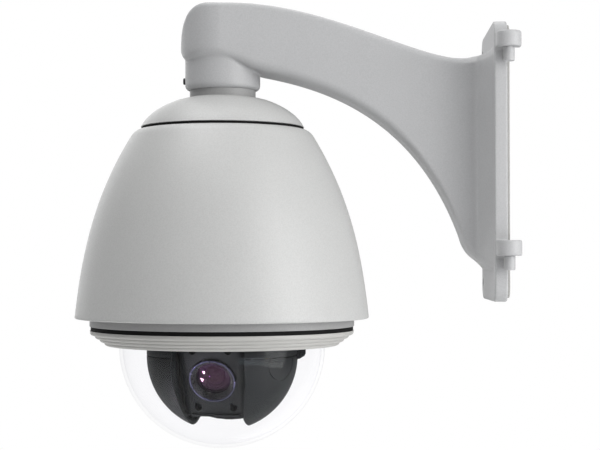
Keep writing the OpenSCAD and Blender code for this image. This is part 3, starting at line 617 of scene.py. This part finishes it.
sockets = [
    moved(lathe([(0, 22), (SET_R + 0.1, 22), (SET_R + 0.1, 30), (0, 30)], 32),
          Matrix.Translation((PAN_X, 0, SET_Z)) @ Matrix.Rotation(math.radians(a), 4, "Z")
          @ Matrix.Rotation(math.pi / 2, 4, "Y"))
    for a in SET_ANGLES
]
holes = thing("holes", joined(*drills, *sockets))
hollow = thing("hollow", arm_loft(inner_x, WALL))
cut(casting, hollow, window, bore, holes)
ready(casting, "wall_arm", "casting_paint", ["wall_arm"], sharp=50)

PIN_R, PIN_ROOT_R, PIN_END = 4, 3, PIN_FREE + 9
pin_free = [(0, 0), (PIN_R, 0), (PIN_R, PIN_FREE)]
pin_root = [(PIN_ROOT_R, PIN_FREE), (PIN_ROOT_R, PIN_END), (0, PIN_END)]
pin_shape = soften(pin_free + pin_root, 0.9)
pins = thing("pins", joined(*[moved(lathe(pin_shape, 48), Matrix.Translation((PIN_X, PIN_Y, z - PIN_FREE)))
                              for z in KNUCKLE_Z]))
ready(pins, "wall_arm", "casting_paint", ["hinge_pins"])


def hex_screw(head_r, head_h, shank_r, length, key_r, depth, crown):
    """A screw along +Z with a six-sided socket in its head, which is below z = 0."""
    rows = [
        (0, -head_h + depth, 6), (key_r, -head_h + depth, 6), (key_r, -head_h + crown, 6),
        (key_r + 0.2, -head_h, 1), (head_r - crown, -head_h, 1), (head_r, -head_h + crown, 1),
        (head_r, 0, 1), (shank_r, 0, 1), (shank_r, length, 1), (0, length, 1),
    ]
    verts, faces, n = [], [], 48
    for r, z, sides in rows:
        for k in range(n):
            a = 2 * math.pi * k / n
            if sides > 1:
                part = (a + math.pi / sides) % (2 * math.pi / sides) - math.pi / sides
                rr = r * math.cos(math.pi / sides) / math.cos(part)
            else:
                rr = r
            verts.append((max(rr, 1e-4) * math.cos(a), max(rr, 1e-4) * math.sin(a), z))
    for i in range(len(rows) - 1):
        for k in range(n):
            m = (k + 1) % n
            faces.append((i * n + k, i * n + m, (i + 1) * n + m, (i + 1) * n + k))
    faces.append(tuple(range(n)))
    faces.append(tuple(range((len(rows) - 1) * n, len(rows) * n)))
    return verts, faces


def screws(name, shape, places, place, body, slot, node):
    """Equal screws as one piece."""
    o = thing(name, joined(*[moved(shape, p) for p in places]), place)
    return ready(o, body, slot, [node], sharp=30)


set_places = [
    Matrix.Rotation(math.radians(a), 4, "Z") @ Matrix.Translation((SET_OUT, 0, SET_Z))
    @ Matrix.Rotation(-math.pi / 2, 4, "Y")
    for a in SET_ANGLES
]
screws("set_screws", hex_screw(SET_R, 1.5, SET_R, 2.3, 1.4, 2.0, 0.4), set_places, DOME, "wall_arm",
       "dark_fastener", "collar_set_screws")

gasket_loop = rounded_rect(GASKET_W, GASKET_H, GASKET_ROUND)
pad = thing("wall_gasket", moved(prism(gasket_loop, FLANGE_BACK, 0, 0.35, steps=2), plate_place))
pad_window = thing("pad_window", moved(prism(window_loop, -4, 4), window_place))
pad_holes = thing("pad_holes", joined(*drills))
cut(pad, pad_window, pad_holes)
ready(pad, "wall_arm", "grey_rubber", ["flange_gasket"])

# ---- Dome housing ----------------------------------------------------------

CAP_R, CAP_Z, SEAM_Z, SHELL = 60.4, 28, 26.2, 3
NECK_BORE_R, NECK_TOP, SEAM_IN_R = 18, 74, 43
cap_dome = bezier((60.2, 28.6), (56.2, 37.2), (44.8, 44.2), (33.3, 48), 24)
cap_neck = bezier((29, 49.1), (26, 49.6), (NECK_R, 49.6), (NECK_R, 50.8), 8)
cap_shape = (
    [(CAP_R - 5, CAP_Z), (CAP_R - 0.5, CAP_Z), (CAP_R, CAP_Z + 0.35)] + cap_dome + cap_neck
    + [(NECK_R, NECK_TOP), (NECK_BORE_R, NECK_TOP), (NECK_BORE_R, 48)]
)
cap_inside = offset([(60.2, 28.4)] + cap_dome[4:], -SHELL, closed=False)[2:]
cap_inside = [p for p in cap_inside if p[0] > NECK_BORE_R + 0.5][::-1]
cap = thing("top_cap_shell", lathe(cap_shape + cap_inside, 180), DOME)
ready(cap, "wall_arm", "bell_paint", ["top_cap"])

# A dark grey band round the neck just below the collar, in the housing's cast finish: its darkness is painted
# shade from the collar's overhang.
NECK_SHADE_R = NECK_R + 0.25
neck_shade_outline = [(20, 50), (NECK_SHADE_R, 50), (NECK_SHADE_R, 58), (20, 58)]
neck_shade = thing("neck_shade_band", lathe(soften(neck_shade_outline, 0.2, 2), 120), DOME)
ready(neck_shade, "wall_arm", "housing_metal")

seam_outline = [(SEAM_IN_R, SEAM_Z), (CAP_R - 0.4, SEAM_Z), (CAP_R - 0.4, CAP_Z), (SEAM_IN_R, CAP_Z)]
seam = thing("cap_seal", lathe(soften(seam_outline, 0.3, 2), 180), DOME)
ready(seam, "wall_arm", "black_rubber", ["cap_gasket"])

BELL_R, RIM_Z = (BELL_HI.x - BELL_LO.x) / 2 / MM, BELL_LO.z / MM
bell_shoulder = bezier((60.4, 26.2), (63.5, 25.8), (65.5, 24), (67.1, 21.9), 8)
bell_wall = bezier((67.8, 20.8), (93.3, -21.5), (102.7, -60.7), (BELL_R, RIM_Z + 0.9), 64)
bell_inside = offset(bell_wall, SHELL, closed=False)[::-1]
lip = arc((BELL_R - 1.2, RIM_Z + 1.0), 1.2, -8, -172, 8)
bell_shape = [(SEAM_IN_R, SEAM_Z - SHELL), (SEAM_IN_R, SEAM_Z)] + bell_shoulder + bell_wall
bell_shape += lip + bell_inside[1:] + [(CAP_R - 1, SEAM_Z - SHELL)]
bell = thing("bell", lathe(bell_shape, 240), DOME)
ready(bell, "wall_arm", "bell_paint", ["bell_shield"])

SEAL_LO, SEAL_HI = box_mm("seal_ring")
# The housing and the trim ring step back at their outer edges by the lip, and the black seal fills that space:
# painted shade of the gap between them.
RING_R, RIM_IN, LIP_R, SEAL_SHADE_LIP = 97.4, 88, 94, 0.5
house_inside = [(0, 10), (62, 10), (63, 9), (87, -104), (RIM_IN, -106), (RIM_IN, SEAL_HI.z)]
house_rim = [(LIP_R, SEAL_HI.z), (LIP_R, SEAL_HI.z + SEAL_SHADE_LIP), (RING_R, SEAL_HI.z + SEAL_SHADE_LIP), (RING_R, -108)]
house_outside = [(90, -104), (66, 9), (62, 13), (0, 13)]
house_shape = soften(house_inside + house_rim + house_outside, 0.5, 3)
house_shape = [p if p[0] > 0.5 else (0, p[1]) for p in house_shape]
house = thing("housing_shell", lathe(house_shape, 200), DOME)
ready(house, "wall_arm", "housing_metal", ["inner_housing"])

# The seal's outer face stands taller than the seal ring by the lip above and below; that extra black band is
# painted shade of the gap, the rest is the real seal.
seal_shape = soften(
    [(RIM_IN + 1, SEAL_LO.z), (LIP_R, SEAL_LO.z), (LIP_R, SEAL_LO.z - SEAL_SHADE_LIP), (RING_R - 0.8, SEAL_LO.z - SEAL_SHADE_LIP),
     (RING_R - 0.8, SEAL_HI.z + SEAL_SHADE_LIP), (LIP_R, SEAL_HI.z + SEAL_SHADE_LIP), (LIP_R, SEAL_HI.z), (RIM_IN + 1, SEAL_HI.z)],
    0.3, 3,
)
seal = thing("seal", lathe(seal_shape, 200), DOME)
ready(seal, "wall_arm", "black_rubber", ["seal_ring"])

TRIM_Z = SEAL_LO.z
RIDGES, RIDGE_BULGE, RIDGE_VALLEY = 4, 1.2, 1.1
RIDGE_START, RIDGE_SPAN, RIDGE_SQUARENESS = 0.07, 0.86, 0.55
ridge_from, ridge_to = Vector((RING_R - 0.2, TRIM_Z - SEAL_SHADE_LIP - 0.7)), Vector((83.4, -132.3))
ridge_step = (ridge_to - ridge_from) / RIDGES
ridge_out = Vector((-ridge_step.y, ridge_step.x)).normalized()
trim_shape = [(RING_R - 0.4, TRIM_Z - SEAL_SHADE_LIP)]
for i in range(RIDGES):
    for k in range(11):
        t = k / 10
        out = ridge_out * RIDGE_BULGE * math.sin(math.pi * t) ** RIDGE_SQUARENESS
        trim_shape.append(tuple(ridge_from + ridge_step * (i + RIDGE_START + RIDGE_SPAN * t) + out))
    if i < RIDGES - 1:
        trim_shape.append(tuple(ridge_from + ridge_step * (i + 1) - ridge_out * RIDGE_VALLEY))
trim_shape += [(82.6, -132.5), (77, -132.5), (76.5, -132), (76.5, -128), (84, -128), (84, -114), (87.6, -114),
               (87.6, TRIM_Z), (LIP_R, TRIM_Z), (LIP_R, TRIM_Z - SEAL_SHADE_LIP)]
trim = thing("stepped_ring", lathe(trim_shape, 240), DOME)
ready(trim, "wall_arm", "trim_plastic", ["trim_ring"])

BUBBLE_R, BUBBLE_T, BUBBLE_Z = 76, 2.5, -132
bubble_shape = (
    arc((0, BUBBLE_Z), BUBBLE_R, -90, 0, 48)
    + [(BUBBLE_R, -127.3), (76.6, -126.8), (83.2, -126.8), (83.5, -126.5), (83.5, -124.6), (83.2, -124.3),
       (73.5, -124.3)]
    + arc((0, BUBBLE_Z), BUBBLE_R - BUBBLE_T, 0, -90, 48)
)
dome = thing("clear_dome", lathe(on_axis(bubble_shape), 160), DOME)
ready(dome, "wall_arm", "clear_dome", ["bubble"])

# ---- Ball shroud -----------------------------------------------------------

BALL_R, BALL_T = 55.7, 2.5
SHROUD_TOP = box_mm("shroud_upper")[1].z - TILT_AT.z / MM

slot_half = [(26, 40), (26, -18), (25, -25), (22.8, -35), (20.8, -45), (20.6, -60)]
slot_loop = soften(slot_half + [(-x, z) for x, z in slot_half[::-1]], 9, 6)
SLOT_LEAN = 25


def slot_cutter(name, low, high):
    """The slot's opening, forward of a plane that leans back from the tilt axis."""
    o = thing(name, moved(prism(slot_loop, -80, 80), Matrix.Rotation(math.pi / 2, 4, "X")), BALL)
    lean = Matrix.Rotation(math.radians(SLOT_LEAN), 4, "X") @ Matrix.Translation((0, -50, 0))
    keep = thing(name + "_keep", moved(prism(rounded_rect(90, 100, 1), -110, 110), lean), BALL)
    cut(o, keep, way="INTERSECT")
    band = thing(name + "_band", prism(rounded_rect(180, 180, 1), low, high), BALL)
    return cut(o, band, way="INTERSECT")


lower_shape = (
    arc((0, 0), BALL_R, -90, 0, 40) + [(BALL_R - BALL_T, 0)] + arc((0, 0), BALL_R - BALL_T, -4, -90, 38)
)
lower = thing("shroud_bowl", lathe(on_axis(lower_shape), 160), BALL)
cut(lower, slot_cutter("bowl_slot", -70, 2))
SHROUD_VOXEL = 0.55
remeshed(lower, SHROUD_VOXEL, 3)
CAP_AT, GROOVE_IN, GROOVE_OUT, GROOVE_DEPTH = (0, -24, -3.7), 12.2, 13.1, 0.8
cheek_at = Matrix.Translation(CAP_AT) @ Matrix.Rotation(math.pi / 2, 4, "Y")
groove_shape = [(GROOVE_IN, 30), (GROOVE_OUT, 30), (GROOVE_OUT, 70), (GROOVE_IN, 70)]
groove = thing("groove", moved(lathe(groove_shape, 96), cheek_at), BALL)
floor_r = BALL_R - GROOVE_DEPTH
groove_floor = [(0, -floor_r), *arc((0, 0), floor_r, -86, 86, 60), (0, floor_r)]
cut(groove, thing("groove_depth", lathe(groove_floor, 120), BALL))
cut(lower, groove)
ready(lower, "pan_head", "black_plastic", ["shroud_lower"], sharp=50)

SHROUD_MOUTH_R, PARTING = 49, 0.3
upper_outside = [(BALL_R, PARTING), (BALL_R, SHROUD_TOP), (SHROUD_MOUTH_R, SHROUD_TOP)]
upper_inside = [(SHROUD_MOUTH_R, SHROUD_TOP - BALL_T), (BALL_R - BALL_T, SHROUD_TOP - BALL_T)]
upper_shape = upper_outside + upper_inside + [(BALL_R - BALL_T, PARTING)]
upper = thing("shroud_drum", lathe(upper_shape, 160), BALL)
cut(upper, slot_cutter("drum_slot", -10, 40))
remeshed(upper, SHROUD_VOXEL, 2)
ready(upper, "pan_head", "black_plastic", ["shroud_upper"], sharp=50)

CHEEK_IN, CHEEK_OUT, CHEEK_X, CHEEK_T = 28, 46.8, 26, 1.3
CHEEK_TOP, CHEEK_TURN = 28, -118
cheek_loop = (
    arc((0, 0), CHEEK_OUT, CHEEK_TURN, 0, 30)
    + [(CHEEK_OUT, CHEEK_TOP), (CHEEK_IN, CHEEK_TOP)]
    + arc((0, 0), CHEEK_IN, 0, CHEEK_TURN, 24)
)
cheek_loop = [(-u, v) for u, v in cheek_loop][::-1]
upright = Matrix(((0, 0, 1, 0), (1, 0, 0, 0), (0, 1, 0, 0), (0, 0, 0, 1)))
cheeks = thing("slot_cheeks", joined(*[
    moved(prism(cheek_loop, x, x + CHEEK_T, 0.3, 2), upright) for x in (CHEEK_X, -CHEEK_X - CHEEK_T)]), BALL)
ready(cheeks, "pan_head", "black_plastic")

LATCH_IN, LATCH_OUT, LATCH_TOP = BALL_R - 0.6, 60.8, 10
latch_outline = [(LATCH_IN, LATCH_TOP), (LATCH_OUT, LATCH_TOP), (LATCH_OUT, 1), (60.4, 0.2), (57.4, -1.6)]
latch_loop = soften(latch_outline + [(LATCH_IN, -2.4)], 0.4, 3)
latch = thing("shroud_tab", moved(prism(latch_loop, -5, 5, 0.7), Matrix.Rotation(math.pi / 2, 4, "X")),
              axes((1, 0, 0), UP, TILT_AT))
ready(latch, "pan_head", "black_plastic", ["shroud_latch"])

# ---- Camera module ---------------------------------------------------------

FACE, BEZEL_HALF, LENS_R = 36, 24.5, 17
half_section = [(0, FACE), (18.5, FACE)] + arc((18.5, FACE - 6), 6, 80, 0, 8) + [(BEZEL_HALF, 18)]
section = half_section + [(-x, z) for x, z in half_section[::-1][:-1]]
to_section = Matrix.Rotation(math.pi / 2, 4, "X")
bezel_body = moved(prism(section[::-1], -30, 30, 0.7), to_section)
bezel = thing("bezel", bezel_body, LENS)
CAVITY_H, CAVITY_TOP, FACE_T = 56.6, 27.5, 2.5
cavity = thing("cavity", prism(rounded_rect(45.4, CAVITY_H, 2), 10, CAVITY_TOP), LENS)
well = thing("well", prism(rounded_rect(36, CAVITY_H, 2), 10, FACE - FACE_T), LENS)
bore_hole = thing("lens_bore", lathe([(0, 10), (LENS_R + 0.3, 10), (LENS_R + 0.3, 50), (0, 50)], 96), LENS)
SCREW_DEPTH = 7
SCREW_AT = [(x, y) for x in (-13, 13) for y in (-22.8, 24)]


def at_screws(shape):
    return joined(*[moved(shape, Matrix.Translation((x, y, 0))) for x, y in SCREW_AT])


recess = thing("recess", at_screws(prism(rounded_rect(5.2, 7, 2.5), FACE - SCREW_DEPTH, FACE + 3)), LENS)
posts = thing("posts", at_screws(prism(rounded_rect(6.4, 8.2, 3), 14, FACE - 1)), LENS)
cut(bezel, cavity, well, bore_hole)
cut(bezel, posts, way="UNION")
cut(bezel, recess)
ledge = thing("ledge", moved(prism(rounded_rect(37, 1.8, 0.7, 4), FACE - 3, FACE + 1.5, 0.4, 3),
                             Matrix.Translation((0, -29.4, 0))), LENS)
cut(bezel, ledge, way="UNION")
ready(bezel, "camera", "bezel_plastic", ["camera_bezel"])

bezel_places = [
    Matrix.Translation((x, y, FACE - SCREW_DEPTH)) @ Matrix.Rotation(math.pi, 4, "X") for x, y in SCREW_AT
]
screws("face_screws", hex_screw(1.9, 0.5, 1.2, 21, 1.0, 0.4, 0.15), bezel_places, LENS, "camera",
       "dark_fastener", "bezel_screws")

ring_shape = soften(
    [(15, 30), (LENS_R, 30), (LENS_R, FACE + 0.5), (16.8, FACE + 0.7), (17.1, FACE + 1.5), (16.7, FACE + 2.1),
     (16.0, FACE + 2.2), (15.6, FACE + 1.5), (15.2, FACE + 1.9), (14.6, FACE + 1.9), (14.2, FACE + 0.7),
     (13.6, FACE + 0.5), (13.3, FACE - 0.6), (12.8, FACE - 0.8), (12.6, FACE - 1.4), (12.6, 34), (15, 34)],
    0.25, 3,
)
ring = thing("lens_bezel_ring", lathe(ring_shape, 128), LENS)
ready(ring, "camera", "lens_black", ["lens_ring"])
BEAD_AT, BEAD_R = (16.3, FACE + 2.2), 0.5
bead = thing("lens_bead", lathe(arc(BEAD_AT, BEAD_R, 0, 342, 19), 128), LENS)
ready(bead, "camera", "lens_black")
bead_finish = solid("anodised_bead", (0.13, 0.13, 0.24), 0.26, metallic=0.85, grain=3200.0, strength=0.1)
bead.data.materials[0] = bead_finish

GLASS_R, GLASS_BASE, GLASS_OPEN = 30, 6.5, 12.2
glass_edge = math.degrees(math.acos(GLASS_OPEN / GLASS_R))
glass_rim = [(GLASS_OPEN, 32.9), (13.4, 32.9), (13.4, 34.0), (GLASS_OPEN, 34.0)]
glass_shape = [(0, 35.2), (6, 34.8)] + glass_rim + arc((0, GLASS_BASE), GLASS_R, glass_edge, 90, 16)
glass = thing("front_element", lathe(on_axis(glass_shape), 96), LENS)
ready(glass, "camera", "lens_glass", ["front_glass"])

BAFFLE_Z, INNER_R, INNER_DOME = 27.6, 7.4, 12
baffle_shape = [
    (13.3, BAFFLE_Z), (13.3, 32.6), (12.5, 32.6), (12.2, 31.2), (11.5, 31.2), (11.2, 30.6), (10.4, 30.9),
    (10.0, 30.0), (9.3, 30.3), (8.9, 29.5), (8.2, 29.8), (INNER_R, 29.3), (INNER_R, BAFFLE_Z),
]
baffle = thing("lens_baffle", lathe(soften(baffle_shape, 0.15, 2), 96), LENS)
ready(baffle, "camera", "bezel_plastic", sharp=25)

inner_edge = math.degrees(math.acos(INNER_R / INNER_DOME))
inner_base = 29.2 - math.sin(math.radians(inner_edge)) * INNER_DOME
inner_back = [(0, BAFFLE_Z + 0.2), (INNER_R - 0.1, BAFFLE_Z + 0.2)]
inner_shape = inner_back + arc((0, inner_base), INNER_DOME, inner_edge, 90, 16)
inner = thing("second_element", lathe(on_axis(inner_shape), 96), LENS)
ready(inner, "camera", "lens_glass")

# ---- Stage, light and camera ------------------------------------------------

FLOOR_Z = -0.45


def emitter(name, place, target, size, size_y, watts, color=(1, 1, 1)):
    """A rectangular lamp that faces the target."""
    light = bpy.data.lights.new(name, "AREA")
    light.shape, light.size, light.size_y = "RECTANGLE", size, size_y
    light.energy, light.color = watts, color
    o = bpy.data.objects.new(name, light)
    o.location = place
    o.rotation_mode = "QUATERNION"
    o.rotation_quaternion = (Vector(target) - Vector(place)).to_track_quat("-Z", "Y")
    SCENE.collection.objects.link(o)


def stage_floor():
    """A round white floor that fades into the background and can be seen from above only."""
    steps, rings = 64, (0.6, 1.2, 2.4)
    turns = [2 * math.pi * k / steps for k in range(steps)]
    verts = [(0, 0, 0)]
    faces = []
    for r in rings:
        verts += [(r * math.cos(a), r * math.sin(a), 0) for a in turns]
    for k in range(steps):
        faces.append((0, 1 + k, 1 + (k + 1) % steps))
    for i in range(len(rings) - 1):
        a, b = 1 + i * steps, 1 + (i + 1) * steps
        for k in range(steps):
            m = (k + 1) % steps
            faces.append((a + k, b + k, b + m, a + m))
    mesh = bpy.data.meshes.new("floor")
    mesh.from_pydata(verts, [], faces)
    o = bpy.data.objects.new("floor", mesh)
    o.location = (DOME_X, 0, FLOOR_Z)
    SCENE.collection.objects.link(o)
    k = Nodes("floor")
    length = k.add("ShaderNodeVectorMath")
    length.operation = "LENGTH"
    k.put(length.inputs[0], k.place)
    fade = k.ranged(length.outputs["Value"], 0.55, 1.25, 0.0, 1.0)
    d = k.add("ShaderNodeBsdfDiffuse")
    k.put(d.inputs["Color"], k.mixed(k.noise(4.0), (0.86, 0.86, 0.85), (0.9, 0.9, 0.9)))
    e = k.add("ShaderNodeEmission")
    m = k.add("ShaderNodeMixShader")
    k.put(m.inputs[0], k.maths("MULTIPLY", fade, k.add("ShaderNodeLightPath").outputs["Is Camera Ray"]))
    k.tree.links.new(d.outputs[0], m.inputs[1])
    k.tree.links.new(e.outputs[0], m.inputs[2])
    through = k.add("ShaderNodeBsdfTransparent")
    back = k.add("ShaderNodeNewGeometry").outputs["Backfacing"]
    both = k.add("ShaderNodeMixShader")
    k.tree.links.new(back, both.inputs[0])
    k.tree.links.new(m.outputs[0], both.inputs[1])
    k.tree.links.new(through.outputs[0], both.inputs[2])
    o.data.materials.append(k.surface(both.outputs[0]))


stage_floor()

world = bpy.data.worlds.new("studio")
SCENE.world = world
world.use_nodes = True
wt = world.node_tree
wt.nodes.clear()
w_out = wt.nodes.new("ShaderNodeOutputWorld")
w_mix = wt.nodes.new("ShaderNodeMixShader")
w_path = wt.nodes.new("ShaderNodeLightPath")
w_fill = wt.nodes.new("ShaderNodeBackground")
w_back = wt.nodes.new("ShaderNodeBackground")
w_fill.inputs["Color"].default_value = (0.985, 0.99, 1.0, 1)
w_fill.inputs["Strength"].default_value = 0.41
w_back.inputs["Color"].default_value = (1, 1, 1, 1)
w_back.inputs["Strength"].default_value = 1.0
wt.links.new(w_path.outputs["Is Camera Ray"], w_mix.inputs[0])
wt.links.new(w_fill.outputs[0], w_mix.inputs[1])
wt.links.new(w_back.outputs[0], w_mix.inputs[2])
wt.links.new(w_mix.outputs[0], w_out.inputs["Surface"])

AIM = (-0.17, 0.0, -0.02)
emitter("key", (0.56, -0.64, 0.23), AIM, 0.5, 0.8, 4.9, (1, 0.995, 0.985))
emitter("side", (0.58, -0.38, -0.1), AIM, 0.4, 0.7, 2.3)
emitter("top", (-0.56, -0.32, 1.12), AIM, 0.8, 0.6, 7.8)
emitter("rim", (-0.2, 0.5, 1.1), AIM, 0.8, 0.6, 5.5)
emitter("back", (-0.9, 1.2, 0.3), AIM, 1.0, 1.0, 3.8)
emitter("low", (0.35, -0.75, -0.42), AIM, 0.5, 0.2, 0.5, (0.8, 0.86, 1))


def glint(name, x, y, distance, radius, watts, color):
    """A small lamp whose mirror image in the front glass is at (x, y) for the camera."""
    at = Vector((x, y, GLASS_BASE + math.sqrt(GLASS_R**2 - x * x - y * y)))
    normal = (LENS.to_3x3() @ Vector((x, y, at.z - GLASS_BASE))).normalized()
    at = LENS @ at
    to_eye = (Vector(CAMERA_AT) - at).normalized()
    way = 2 * normal.dot(to_eye) * normal - to_eye
    lamp = bpy.data.lights.new(name, "SPOT")
    lamp.energy, lamp.shadow_soft_size, lamp.color = watts, radius, color
    lamp.spot_size, lamp.spot_blend = math.radians(10), 0.2
    o = bpy.data.objects.new(name, lamp)
    o.location = at + way * distance
    o.visible_camera = False
    o.rotation_mode = "QUATERNION"
    o.rotation_quaternion = (-way).to_track_quat("-Z", "Y")
    SCENE.collection.objects.link(o)


CAMERA_AT = (-0.1084, -1.0714, -0.0692)
glint("glint_left", -8.4, -0.2, 0.15, 0.013, 1.3, (1, 0.9, 0.95))
glint("glint_high", -6.2, 5.6, 0.15, 0.009, 0.7, (0.95, 0.85, 1))

SCENE.view_settings.view_transform = "Standard"
SCENE.view_settings.look = "None"

lens_camera = bpy.data.cameras.new("view")
lens_camera.lens, lens_camera.sensor_width = 87, 36
lens_camera.dof.use_dof = False
camera = bpy.data.objects.new("view", lens_camera)
pitch, heading = math.radians(1.343), (-0.0384, 0.99926)
camera.location = CAMERA_AT
camera.rotation_mode = "QUATERNION"
look = Vector((heading[0] * math.cos(pitch), heading[1] * math.cos(pitch), math.sin(pitch)))
camera.rotation_quaternion = look.to_track_quat("-Z", "Y")
SCENE.collection.objects.link(camera)
SCENE.camera = camera

bpy.context.view_layer.update()
